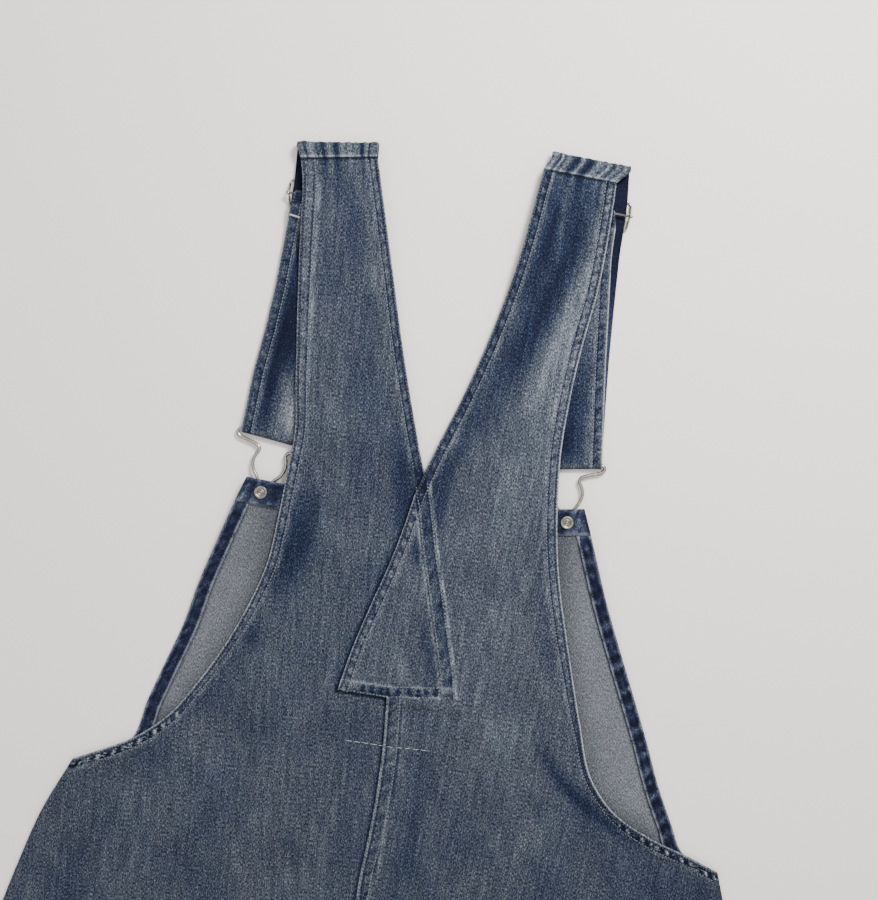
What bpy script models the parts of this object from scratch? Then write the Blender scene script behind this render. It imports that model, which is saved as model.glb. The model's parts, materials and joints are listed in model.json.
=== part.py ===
# Denim suspender trousers, fastened and laid flat on their front, so the back shows.
#
# +Z is up and z = 0 is the surface they lie on. +Y runs from the leg hems to the shoulders and +X is
# the right-hand side as seen from above. The origin is below the middle of the garment's outline.
# Every size and place below is in millimetres. The meshes are made in metres.

import math
from collections import namedtuple

import bmesh
import bpy
from mathutils import Vector

MM = 0.001

# Cloth
CLOTH = 1.2                 # wall of one layer of denim
HALF_WALL = CLOTH / 2
HEM_RELIEF = 0.8            # how far a turned hem or felled seam stands up
HEM_WIDTH = 9.5             # from an edge to its inner row of stitches
HEM_STEP = 1.6              # run of the slope on the inner side of a hem
SEAM_GAP = 0.3              # between pieces that are sewn or that touch

# Shape of the garment
LAP_RISE = 2.5              # the right back lies this far above the left back where they cross
FACING_WIDTH = 12.0         # turned hem down each side of the bib

# Metal
WIRE_R = 1.4                # hook buckle
SLIDE_WIRE_R = 0.9          # strap slide
SLIDE_HALF_WIDTH = 37.2
SLIDE_HALF_HEIGHT = 13.0
SLIDE_BAR_Z = 7.1           # height of the bar over the arched frame
SLIDE_CORNER_R = 4.0
SLIDE_KNOB_R = 1.7
SLIDE_BAR_OUT = 0.9         # the bar's rolled ends reach this far past the frame
BUTTON_R = 8.5
NECK_R = 3.5
BUTTON_HEAD = 3.0
NECK_TOP = 7.0
BUTTON_EDGE = 0.6
TACK_R = 5.6
TACK_HEIGHT = 1.1
TACK_BOWL_R = 1.8
TACK_RING_R = 2.6

# The bib's top corners are held up by the buttons under them
BIB_LIFT = NECK_TOP + 2 * SEAM_GAP
LIFT_ACROSS = 62.0
LIFT_DOWN = 95.0
LIFT_UP = 70.0

Place = namedtuple("Place", "x y tilt")
BUTTONS = {
    "left": Place(-135.3, 420.0, -8.3),
    "right": Place(127.0, 426.2, 7.6),
}
SLIDES = {
    "left": Place(-105.5, 680.0, 4.5),
    "right": Place(111.5, 695.0, -4.0),
}

# One row for each section across a back panel, from the leg hem to the shoulder seam. side is the
# outer edge and centre the inner one. steps is the number of mesh rows up to the next section,
# side_hem, centre_hem and band say where the edge or the whole section is turned double, and corner
# names an edge that turns sharply there.
Section = namedtuple("Section", "side_x side_y centre_x centre_y steps side_hem centre_hem band corner")

BACK_LEFT = [
    Section(-322, -740, -78, -740, 1, 0, 0, 1, ""),
    Section(-323, -722, -76, -722, 1, 0, 0, 1, ""),
    Section(-323, -719, -76, -719, 2, 0, 0, 0, ""),
    Section(-331, -560, -63, -560, 2, 0, 0, 0, ""),
    Section(-337, -400, -43, -400, 2, 0, 0, 0, ""),
    Section(-340, -250, -20, -245, 2, 0, 0, 0, ""),
    Section(-338, -134, -6, -134, 2, 0, 0, 0, "centre"),
    Section(-331, -50, -9, -40, 2, 0, 0, 0, ""),
    Section(-319, 20, -12, 40, 1, 0, 0, 0, ""),
    Section(-304, 80, -12.3, 100, 1, 0, 0, 0, ""),
    Section(-290, 125, -8.7, 140, 1, 0, 0, 0, ""),
    Section(-268, 174, -6.3, 180, 1, 1, 0, 0, "side"),
    Section(-250, 182, -6, 197, 1, 1, 0, 0, ""),
    Section(-219, 198, -5.9, 215, 1, 1, 0, 0, ""),
    Section(-189, 224, -6.8, 238, 1, 1, 0, 0, ""),
    Section(-170, 252, -7.8, 262, 1, 1, 0, 0, ""),
    Section(-149, 290, -5.59, 292, 1, 1, 0, 0, ""),
    Section(-134, 325, -5, 328, 1, 1, 0, 0, ""),
    Section(-123, 360, -5, 365, 1, 1, 0, 0, ""),
    Section(-118, 400, -5, 405, 1, 1, 0, 0, ""),
    Section(-115, 440, -5, 440, 1, 1, 0, 0, ""),
    Section(-113, 475, -5, 472, 1, 1, 1, 0, "centre"),
    Section(-118, 520, -19, 518, 1, 1, 1, 0, ""),
    Section(-123, 570, -33, 568, 1, 1, 1, 0, ""),
    Section(-127, 615, -45, 615, 1, 1, 1, 0, ""),
    Section(-130, 660, -57, 662, 1, 1, 1, 0, ""),
    Section(-133, 693, -66, 697, 1, 1, 1, 0, ""),
    Section(-136, 706.7, -71, 715.7, 0, 1, 1, 0, ""),
]
BACK_RIGHT = [
    Section(322, -740, 78, -740, 1, 0, 0, 1, ""),
    Section(323, -722, 76, -722, 1, 0, 0, 1, ""),
    Section(323, -719, 76, -719, 2, 0, 0, 0, ""),
    Section(331, -560, 63, -560, 2, 0, 0, 0, ""),
    Section(337, -400, 43, -400, 2, 0, 0, 0, ""),
    Section(340, -250, 20, -245, 2, 0, 0, 0, ""),
    Section(338, -134, -6, -134, 2, 0, 1, 0, "centre"),
    Section(332, -60, -9, -40, 2, 0, 1, 0, ""),
    Section(324, 0, -12, 40, 1, 0, 1, 0, ""),
    Section(312, 65, -12.3, 100, 1, 0, 1, 0, ""),
    Section(300, 120, -8.7, 140, 1, 0, 1, 0, ""),
    Section(292, 144, -6.3, 180, 1, 1, 1, 0, "side"),
    Section(261, 156, -6, 197, 1, 1, 1, 0, ""),
    Section(228, 168, -5.9, 215, 1, 1, 1, 0, ""),
    Section(198, 184, -6.8, 238, 1, 1, 1, 0, ""),
    Section(178, 206, -7.3, 250, 1, 1, 1, 0, ""),
    Section(159, 259, -7.69, 259.3, 1, 1, 0, 0, ""),
    Section(148, 297, -5.29, 296, 1, 1, 0, 0, ""),
    Section(136, 340, -5, 338, 1, 1, 0, 0, ""),
    Section(127, 375, -5, 375, 1, 1, 0, 0, ""),
    Section(120, 415, -5, 408, 1, 1, 0, 0, ""),
    Section(116.5, 450, -5, 434, 1, 1, 1, 0, "centre"),
    Section(115, 480, 8, 473, 1, 1, 1, 0, ""),
    Section(116.5, 520, 25, 519, 1, 1, 1, 0, ""),
    Section(122, 575, 42, 573, 1, 1, 1, 0, ""),
    Section(129, 621, 54, 620, 1, 1, 1, 0, ""),
    Section(132, 660, 62, 663, 1, 1, 1, 0, ""),
    Section(133.4, 695, 67.4, 701, 1, 1, 1, 0, ""),
    Section(133.8, 718.2, 70.6, 722.7, 0, 1, 1, 0, ""),
]
CROTCH_SECTION = 6
WAIST_SECTION = 10          # the bib is sewn to the front legs at this section of the back
STRAP_SECTION = 22          # from here up the left back is its strap alone

# The free edge of each back where it laps past the centre seam, from its lower corner up to the
# section where that edge leaves the centre line. Each row belongs to a section of the back.
LapRow = namedtuple("LapRow", "section x y")
LEFT_LAP = [
    LapRow(15, 50, 265), LapRow(16, 44, 296), LapRow(17, 37, 328), LapRow(18, 28, 362),
    LapRow(19, 18, 402), LapRow(20, 6, 439), LapRow(21, -5, 472),
]
RIGHT_LAP = [
    LapRow(16, -50, 260.5), LapRow(17, -42, 297), LapRow(18, -30, 338), LapRow(19, -18.5, 375),
    LapRow(20, -10, 409), LapRow(21, -5, 434),
]

# The bib from its waist seam to its top edge
BibRow = namedtuple("BibRow", "left_x left_y right_x right_y steps corner")
BIB = [
    BibRow(-290, 125.3, 300, 120.3, 1, ""),
    BibRow(-279, 149, 294.5, 136, 1, ""),
    BibRow(-270, 168, 291, 143, 1, "both"),
    BibRow(-248, 176, 272, 148, 1, ""),
    BibRow(-228, 187, 259, 158, 1, ""),
    BibRow(-219, 199, 249, 178, 1, ""),
    BibRow(-211, 230, 234, 209, 1, ""),
    BibRow(-199, 267, 218, 249, 1, ""),
    BibRow(-188, 300, 203.5, 283, 1, ""),
    BibRow(-179, 338, 187, 321, 1, ""),
    BibRow(-168, 374, 170, 361, 1, ""),
    BibRow(-156.6, 410.2, 148.9, 417.6, 2, ""),
    BibRow(-149, 432, 140.5, 439.5, 0, ""),
]
SIDE_FACING_FROM = 3        # first row of BIB that has a turned hem
TOP_FACING_FROM = 11        # first row of BIB in the deep top hem
TOP_SAG = 8.0               # how far the middle of the top hem hangs below its two buttons

# Soft ridges that the cloth lies in: a line from one end to the other, its half width and height
Fold = namedtuple("Fold", "x0 y0 x1 y1 half_width height")
FOLDS = [
    Fold(9, 235, 4, -100, 11, 1.5),
    Fold(186, 222, 238, 158, 14, 2.2),
    Fold(60, 120, 150, -60, 34, 1.8),
    Fold(-70, 150, -150, -40, 36, 1.6),
    Fold(-200, 70, -185, -230, 44, 2.3),
    Fold(225, 40, 195, -250, 44, 2.3),
    Fold(-40, -120, -150, -200, 26, 2.2),
    Fold(40, -125, 165, -215, 26, 2.2),
    Fold(-120, -260, -225, -470, 38, 2.6),
    Fold(130, -300, 240, -520, 38, 2.6),
    Fold(-260, -400, -190, -660, 34, 2.2),
    Fold(200, -430, 150, -690, 34, 2.2),
]

# How the front half of a strap lies below the back half, from the shoulder fold down to the hook
# buckle. centre_x and half_width hold for the under layer, and tail_x for the end that comes back up.
StrapRow = namedtuple("StrapRow", "y centre_x tail_x half_width tilt")
STRAPS = {
    "left": [
        StrapRow(740, -107, -107, 35.0, 6.5),
        StrapRow(690, -105, -104.5, 35.0, 5.0),
        StrapRow(655, -107, -106.5, 34.7, 3.5),
        StrapRow(620, -110, -110, 34.0, 1.5),
        StrapRow(585, -112.5, -112.5, 33.2, -0.5),
        StrapRow(550, -118, -118, 32.4, -3.0),
        StrapRow(515, -124, -124, 31.6, -6.0),
        StrapRow(466, -128.6, -128.6, 30.6, -8.3),
    ],
    "right": [
        StrapRow(737, 110.5, 103.0, 34.0, -4.0),
        StrapRow(700, 111.3, 103.2, 35.0, -4.2),
        StrapRow(675, 111.0, 103.6, 34.2, -3.5),
        StrapRow(655, 110.5, 103.6, 34.5, -2.5),
        StrapRow(620, 111.5, 106.5, 34.0, -1.0),
        StrapRow(585, 113.0, 109.5, 33.3, 1.0),
        StrapRow(550, 114.8, 112.5, 32.6, 3.0),
        StrapRow(515, 117.5, 116.5, 31.9, 5.0),
        StrapRow(472, 120.8, 120.8, 31.0, 7.6),
    ],
}
# The strap's sewn end round the slide's bar: its middle and half its width
StrapEnd = namedtuple("StrapEnd", "x half")
STRAP_ENDS = {
    "left": StrapEnd(-105.1, 32.8),
    "right": StrapEnd(106.0, 29.5),
}
SHOULDER_Z = 9.7            # underside of the back half of a strap where the front half is sewn on
Shoulder = namedtuple("Shoulder", "seam_x seam_y seam_tilt seam_half fold_y")
SHOULDERS = {
    "left": Shoulder(-103.8, 711.6, 7.8, 32.7, 724.9),
    "right": Shoulder(102.2, 720.9, -4.1, 31.9, 736.8),
}
# Where a strap bends, as distances down from the slide's bar and up from the buckle's bar
UNDER_BEND = 28.8           # the under layer comes down off the slide
UNDER_FLAT = 38.4           # and lies flat
UNDER_TURN = 6.0            # start of its turn round the buckle's bar
TAIL_TURN = 12.0            # end of that turn, on the way back up
TAIL_BEND = 30.0
TAIL_FLAT = 50.0
TAIL_CLIMB = 40.8           # the end starts to rise to the slide
TAIL_STEEP = 26.4
TAIL_FOLDED_END = 26.0      # sewn end of the strap

# Half of the hook buckle's wire, from the bottom of its slot round to the middle of its strap bar.
# u is across the buckle and v along it, from the middle of the button's neck.
HOOK = [
    (3.7, -3.7), (5.2, 0), (5.4, 5), (7.2, 11.5), (11.2, 17), (13.8, 22), (13.9, 27), (12.3, 32),
    (10.9, 35.2), (13, 38.2), (18, 39.4), (25, 40.7), (31, 42), (33.5, 44.4), (33.2, 46.9), (31.2, 48.2),
]
HOOK_SLOT_END = -5.2
HOOK_BAR_V = 48.2
HOOK_AT_NECK_Z = 4.9
HOOK_AT_BAR_Z = 3.0

DENIM_BACK = (0.085, 0.125, 0.19)
DENIM_INSIDE = (0.27, 0.30, 0.31)
DENIM_DARK = (0.02, 0.03, 0.085)
STEEL = (0.46, 0.45, 0.42)


# Curves and heights

def ease(low, high, value):
    share = min(1.0, max(0.0, (value - low) / (high - low)))
    return share * share * (3 - 2 * share)


def slope_at(points, i, sharp, side):
    """Tangent of a smooth edge at point i. side is -1 for the stretch before it and 1 for the one after."""
    if i == 0 or i == len(points) - 1 or sharp:
        a, b = (i - 1, i) if (side < 0 or i == len(points) - 1) and i > 0 else (i, i + 1)
        return (points[b] - points[a]) / (points[b] - points[a]).length
    before, after = points[i] - points[i - 1], points[i + 1] - points[i]
    return (before * after.length / before.length + after * before.length / after.length) / (
        before.length + after.length)


def smooth_edge(points, sharp, steps):
    """A smooth edge through the points, with a number of steps in each stretch and corners where sharp."""
    edge = []
    for i in range(len(points) - 1):
        p, q = points[i], points[i + 1]
        span = (q - p).length
        leave = slope_at(points, i, sharp[i], 1) * span
        arrive = slope_at(points, i + 1, sharp[i + 1], -1) * span
        for k in range(steps[i]):
            t = k / steps[i]
            edge.append(
                p * (2 * t**3 - 3 * t**2 + 1) + leave * (t**3 - 2 * t**2 + t)
                + q * (3 * t**2 - 2 * t**3) + arrive * (t**3 - t**2)
            )
    return edge + [points[-1].copy()]


def read(rows, field, y):
    """A column of a table whose rows run down in y, read at y."""
    values = [getattr(row, field) for row in rows]
    if y >= rows[0].y:
        return values[0]
    for above, below, a, b in zip(rows, rows[1:], values, values[1:]):
        if y >= below.y:
            return a + (b - a) * (above.y - y) / (above.y - below.y)
    return values[-1]


def button_lift(x, y):
    """Height of the bib's underside, which rests on the two buttons and falls to the floor."""
    lift = 0.0
    for button in BUTTONS.values():
        reach = LIFT_UP if y > button.y else LIFT_DOWN
        lift += math.exp(-((x - button.x) / LIFT_ACROSS) ** 2 - ((y - button.y) / reach) ** 2)
    return BIB_LIFT * lift


def fold_height(x, y):
    height = 0.0
    for fold in FOLDS:
        start, end = Vector((fold.x0, fold.y0)), Vector((fold.x1, fold.y1))
        along = end - start
        share = (Vector((x, y)) - start).dot(along) / along.length_squared
        off = (Vector((x, y)) - start - along * min(1, max(0, share))).length
        height += fold.height * math.exp(-((off / fold.half_width) ** 2))
    return height


def side_fade(x, y):
    """Folds die away at the side seams and the inseams, which lie on the front."""
    side = 335 - 45 * ease(-50, 170, y)
    inseam = 78 * ease(-150, -740, y)
    return ease(side, side - 50, abs(x)) * ease(inseam, inseam + 35, abs(x) + 35 * ease(-150, -130, y))


def back_under(x, y):
    """Height of the left back's underside, and of the right back's where nothing lies between them."""
    rest = CLOTH + SEAM_GAP + 1.8 * ease(60, 170, y) + 1.6 * ease(440, 480, y) + 4.8 * ease(600, 650, y)
    return rest + button_lift(x, y) + fold_height(x, y) * side_fade(x, y)


def left_edge_x(y):
    """The left back's free edge, on the lap and up the strap."""
    rows = [(row.y, row.x) for row in LEFT_LAP]
    rows += [(s.centre_y, s.centre_x) for s in BACK_LEFT[STRAP_SECTION:]]
    for (y0, x0), (y1, x1) in zip(rows, rows[1:]):
        if y <= y1:
            return x0 + (x1 - x0) * max(0.0, y - y0) / (y1 - y0)
    return rows[-1][1]


def right_under(x, y):
    covered = ease(246, 258, y) * (1 - ease(6, 30, x - left_edge_x(y)))
    return back_under(x, y) + covered * LAP_RISE


# Building solids

def grid_points(left, right, from_left, between, from_right):
    """Points across each pair of edge points: at set distances in from each edge, and evenly between."""
    rows = []
    for i, (a, b) in enumerate(zip(left, right)):
        across = (b - a).normalized()
        row = []
        for edge, distances, way in ((left, from_left, 1), (right, from_right, -1)):
            before, after = edge[max(i - 1, 0)], edge[min(i + 1, len(edge) - 1)]
            slant = max(0.4, abs(across.cross((after - before).normalized())))
            row.append([edge[i] + across * way * d / slant for d in distances])
        inner, outer = row[0][-1], row[1][-1]
        middle = [inner.lerp(outer, (k + 1) / (between + 1)) for k in range(between)]
        rows.append(row[0] + middle + row[1][::-1])
    return rows


def add_grid(bm, points, under, wall):
    """A sheet of the grid's points, with the height of its underside and the wall to give it."""
    up = bm.verts.layers.float_vector.get("wall") or bm.verts.layers.float_vector.new("wall")
    rows, columns = len(points) - 1, len(points[0]) - 1
    sheet = bmesh.ops.create_grid(bm, x_segments=columns, y_segments=rows, size=1)
    for vert in sheet["verts"]:
        i = round((vert.co.y + 1) / 2 * rows)
        j = round((vert.co.x + 1) / 2 * columns)
        point = points[i][j]
        vert.co = Vector((point.x, point.y, under(point.x, point.y))) * MM
        vert[up] = Vector((0, 0, wall(i, j))) * MM


def close_wall(bm):
    """Turns the open sheets into one closed wall. Each point's wall runs along its stored vector."""
    bmesh.ops.remove_doubles(bm, verts=bm.verts[:], dist=0.02 * MM)
    up = bm.verts.layers.float_vector["wall"]
    made = bmesh.ops.extrude_face_region(bm, geom=bm.faces[:], use_keep_orig=True)
    for vert in (item for item in made["geom"] if isinstance(item, bmesh.types.BMVert)):
        vert.co += vert[up]
    bmesh.ops.recalc_face_normals(bm, faces=bm.faces[:])


def material(name, colour, roughness, metallic=0.0):
    made = bpy.data.materials.new(name)
    made.use_nodes = True
    shader = made.node_tree.nodes["Principled BSDF"]
    shader.inputs["Base Color"].default_value = (*colour, 1)
    shader.inputs["Roughness"].default_value = roughness
    shader.inputs["Metallic"].default_value = metallic
    return made


def place(collection, name, mesh, finish):
    obj = bpy.data.objects.new(name, mesh)
    mesh.materials.append(finish)
    collection.objects.link(obj)
    return obj


def mesh_of(bm, name):
    mesh = bpy.data.meshes.new(name)
    bm.to_mesh(mesh)
    bm.free()
    mesh.shade_smooth()
    mesh.set_sharp_from_angle(angle=math.radians(40))
    return mesh


# Cloth pieces

def side_points(sections):
    return [Vector((s.side_x, s.side_y)) for s in sections]


def centre_points(sections, crotch, lap_top, offset):
    """The inner edge, moved off the seam line by half the gap from the crotch to the top of the lap."""
    points = [Vector((s.centre_x, s.centre_y)) for s in sections]
    for point in points[crotch:lap_top + 1]:
        point.x += offset
    return points


def back_panel(name, sections, lap_rows, offset, under):
    """One half of the back: leg, seat, upper back and strap, with its lap past the centre seam."""
    steps = [s.steps for s in sections[:-1]]
    side = smooth_edge(side_points(sections), [s.corner == "side" for s in sections], steps)
    inner = centre_points(sections, CROTCH_SECTION, lap_rows[-1].section, offset)
    centre = smooth_edge(inner, [s.corner == "centre" for s in sections], steps)
    hem = [0, HEM_WIDTH - HEM_STEP, HEM_WIDTH]
    points = grid_points(side, centre, hem, 4, hem)
    doubled = []
    for s in sections:
        doubled += [s] * max(1, s.steps)
    last = len(points[0]) - 1

    def wall(i, j):
        row = doubled[i]
        turned = row.band or (row.side_hem and j < 2) or (row.centre_hem and j > last - 2)
        return CLOTH + (HEM_RELIEF if turned else 0)

    bm = bmesh.new()
    add_grid(bm, points, under, wall)
    first = sum(steps[:lap_rows[0].section])
    own = centre[first:first + len(lap_rows)]
    free = [Vector((row.x, row.y)) for row in lap_rows[:-1]] + [own[-1].copy()]
    lap = []
    for a, b in zip(own, free):
        across = (a - b).length
        near = [min(d, share * across) for d, share in zip(hem, (0, 0.45, 0.55))]
        outer = [b + (a - b) * (d / across if across else 0) for d in near]
        lap.append(outer + [outer[-1].lerp(a, k / 3) for k in (1, 2, 3)])
    add_grid(bm, lap, under, lambda i, j: CLOTH + (HEM_RELIEF if j < 2 else 0))
    close_wall(bm)
    return mesh_of(bm, name)


def front_leg(name, sections, fly_x):
    """The front of one leg, flat on the floor below the back."""
    rows = sections[:WAIST_SECTION + 1]
    steps = [s.steps for s in rows[:-1]]
    waist_y = (BIB[0].left_y + BIB[0].right_y) / 2 - SEAM_GAP
    centre = [Vector((s.centre_x, s.centre_y)) if s.centre_y < rows[CROTCH_SECTION].centre_y
              else Vector((fly_x, min(s.centre_y, waist_y))) for s in rows]
    side_edge = smooth_edge(side_points(rows), [False] * len(rows), steps)
    centre_edge = smooth_edge(centre, [s.corner == "centre" for s in rows], steps)
    points = grid_points(side_edge, centre_edge, [0], 2, [0])
    bm = bmesh.new()
    add_grid(bm, points, lambda x, y: 0.0, lambda i, j: CLOTH)
    close_wall(bm)
    return mesh_of(bm, name)


def bib_points():
    steps = [row.steps for row in BIB[:-1]]
    sharp = [row.corner == "both" for row in BIB]
    left = smooth_edge([Vector((row.left_x, row.left_y)) for row in BIB], sharp, steps)
    right = smooth_edge([Vector((row.right_x, row.right_y)) for row in BIB], sharp, steps)
    points = grid_points(left, right, [0, FACING_WIDTH], 11, [0, FACING_WIDTH])
    for row in points[TOP_FACING_FROM:]:
        start, width = row[0].x, row[-1].x - row[0].x
        for p in row:
            share = (p.x - start) / width
            p.y -= TOP_SAG * 4 * share * (1 - share)
    return points


def sheet_mesh(name, points, under):
    bm = bmesh.new()
    add_grid(bm, points, under, lambda i, j: CLOTH)
    close_wall(bm)
    return mesh_of(bm, name)


def facing_under(x, y):
    return button_lift(x, y) + CLOTH + SEAM_GAP


def side_facing_points(points, columns):
    """A strip of the bib's own points, ending just below the top hem."""
    strip = [row[columns] for row in points[SIDE_FACING_FROM:TOP_FACING_FROM + 1]]
    strip[-1] = [p + (q - p).normalized() * SEAM_GAP for p, q in zip(strip[-1], strip[-2])]
    return strip


# Front halves of the straps

def arc(centre_y, centre_z, radius, start, end, steps):
    """Points (y, z) on an arc, with angles in degrees from +Y towards +Z."""
    angles = (math.radians(start + (end - start) * k / steps) for k in range(steps + 1))
    return [(centre_y + radius * math.cos(a), centre_z + radius * math.sin(a)) for a in angles]


def strap_path(side):
    """The middle of the strap's wall as (y, z, layer), from the shoulder seam to its sewn end."""
    shoulder, slide, button = SHOULDERS[side], SLIDES[side], BUTTONS[side]
    under_z = HALF_WALL
    top_z = SHOULDER_Z + HALF_WALL
    fold_r = (top_z - under_z - SEAM_GAP) / 2
    bar_y = button.y + HOOK_BAR_V * math.cos(math.radians(button.tilt))
    bar_turn = WIRE_R + SEAM_GAP + HALF_WALL
    slide_turn = SLIDE_WIRE_R + SEAM_GAP + HALF_WALL
    over_wire = 2 * SLIDE_WIRE_R + SEAM_GAP + under_z
    tail_z = under_z + CLOTH + 2 * HEM_RELIEF + SEAM_GAP
    wire = SLIDE_HALF_HEIGHT - 1
    path = [(shoulder.seam_y, top_z, "top")]
    path += [(y, z, "top") for y, z in arc(shoulder.fold_y - fold_r, top_z - fold_r, fold_r, 90, -90, 6)]
    path += [
        (slide.y + wire, over_wire, "under"),
        (slide.y, over_wire - HALF_WALL, "under"),
        (slide.y - wire, over_wire, "under"),
        (slide.y - UNDER_BEND, under_z + 0.2, "under"),
    ]
    low, high = bar_y + UNDER_TURN, slide.y - UNDER_FLAT
    path += [(high + (low - high) * k / 4, under_z, "under") for k in range(5)]
    path += [(y, z, "bar") for y, z in arc(bar_y, HOOK_AT_BAR_Z, bar_turn, -90, -270, 4)]
    path += [(bar_y + TAIL_TURN, tail_z + HEM_RELIEF, "tail"), (bar_y + TAIL_BEND, tail_z, "tail")]
    low, high = bar_y + TAIL_FLAT, slide.y - TAIL_CLIMB
    path += [(low + (high - low) * k / 3, tail_z, "tail") for k in range(4)]
    path += [
        (slide.y - TAIL_STEEP, tail_z + 1.7, "tail"),
        (slide.y - wire, SLIDE_BAR_Z + slide_turn, "tail"),
    ]
    path += [(y, z, "end") for y, z in arc(slide.y, SLIDE_BAR_Z, slide_turn, 90, -90, 4)]
    path += [
        (slide.y - wire, SLIDE_BAR_Z - slide_turn, "end"),
        (slide.y - TAIL_FOLDED_END, tail_z - 0.5, "end"),
    ]
    return path


def strap_across(side, y, layer):
    """Middle and half vector of the strap's width at a point of its path."""
    rows, shoulder, slide = STRAPS[side], SHOULDERS[side], SLIDES[side]
    field = "tail_x" if layer == "tail" else "centre_x"
    x, half, tilt = read(rows, field, y), read(rows, "half_width", y), read(rows, "tilt", y)
    if layer == "top":
        share = ease(shoulder.fold_y - 4, shoulder.seam_y, y)
        x += (shoulder.seam_x - x) * share
        half += (shoulder.seam_half - half) * share
        tilt += (shoulder.seam_tilt - tilt) * share
    if layer == "bar":
        x, tilt = read(rows, "centre_x", 0), BUTTONS[side].tilt
    if layer == "end":
        x, half = STRAP_ENDS[side]
        tilt = slide.tilt
        y += (x - slide.x) * math.tan(math.radians(tilt))
    turn = math.radians(tilt)
    return Vector((x, y, 0)), Vector((math.cos(turn), math.sin(turn), 0)) * half


def strap_front(name, side):
    """One ribbon: over the shoulder, through the slide, round the buckle's bar and back to the slide."""
    path = strap_path(side)
    bm = bmesh.new()
    out = bm.verts.layers.float_vector.new("wall")
    columns = [-1.0, -0.72, -0.66, 0.0, 0.66, 0.72, 1.0]
    rows = len(path) - 1
    sheet = bmesh.ops.create_grid(bm, x_segments=len(columns) - 1, y_segments=rows, size=1)
    for vert in sheet["verts"]:
        i = round((vert.co.y + 1) / 2 * rows)
        share = columns[round((vert.co.x + 1) / 2 * (len(columns) - 1))]
        y, z, layer = path[i]
        before, after = path[max(i - 1, 0)], path[min(i + 1, rows)]
        along = Vector((after[0] - before[0], after[1] - before[1])).normalized()
        face = Vector((0, -along.y, along.x))
        middle, half = strap_across(side, y, layer)
        relief = HEM_RELIEF if abs(share) > 0.7 and layer not in ("bar", "end") else 0.0
        vert.co = (middle + Vector((0, 0, z)) + half * share + face * HALF_WALL) * MM
        vert[out] = -face * (CLOTH + relief) * MM
    close_wall(bm)
    return mesh_of(bm, name)


# Metal pieces

def wire_object(name, points, radius, cyclic, sides=2):
    """A round wire through points, as a mesh with its ends welded shut."""
    curve = bpy.data.curves.new(name + "_line", "CURVE")
    curve.dimensions = "3D"
    curve.bevel_depth = radius * MM
    curve.bevel_resolution = sides
    curve.use_fill_caps = True
    spline = curve.splines.new("POLY")
    spline.points.add(len(points) - 1)
    for target, point in zip(spline.points, points):
        target.co = (*(Vector(point) * MM), 1)
    spline.use_cyclic_u = cyclic
    line = bpy.data.objects.new(name + "_line", curve)
    bpy.context.scene.collection.objects.link(line)
    bpy.context.view_layer.update()
    mesh = bpy.data.meshes.new_from_object(line.evaluated_get(bpy.context.evaluated_depsgraph_get()))
    bpy.data.objects.remove(line)
    bm = bmesh.new()
    bm.from_mesh(mesh)
    bmesh.ops.remove_doubles(bm, verts=bm.verts[:], dist=0.01 * MM)
    bmesh.ops.recalc_face_normals(bm, faces=bm.faces[:])
    bm.to_mesh(mesh)
    bm.free()
    mesh.name = name
    mesh.shade_smooth()
    mesh.set_sharp_from_angle(angle=math.radians(40))
    return mesh


def turned(spot, u, v, z):
    """A point given across and along a piece of hardware, put at its place and tilt."""
    a = math.radians(spot.tilt)
    return (spot.x + u * math.cos(a) - v * math.sin(a), spot.y + u * math.sin(a) + v * math.cos(a), z)


def hook_buckle(name, side):
    half = [Vector(p) for p in HOOK]
    outline = [Vector((-p.x, p.y)) for p in half[::-1]] + [Vector((0, HOOK_SLOT_END))] + half
    rounded = smooth_edge(outline, [False] * len(outline), [2] * (len(outline) - 1))
    points = []
    for p in rounded:
        share = ease(10, 42, p.y)
        z = HOOK_AT_NECK_Z + (HOOK_AT_BAR_Z - HOOK_AT_NECK_Z) * share
        points.append(turned(BUTTONS[side], p.x, p.y, z))
    return wire_object(name, points, WIRE_R, True)


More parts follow.
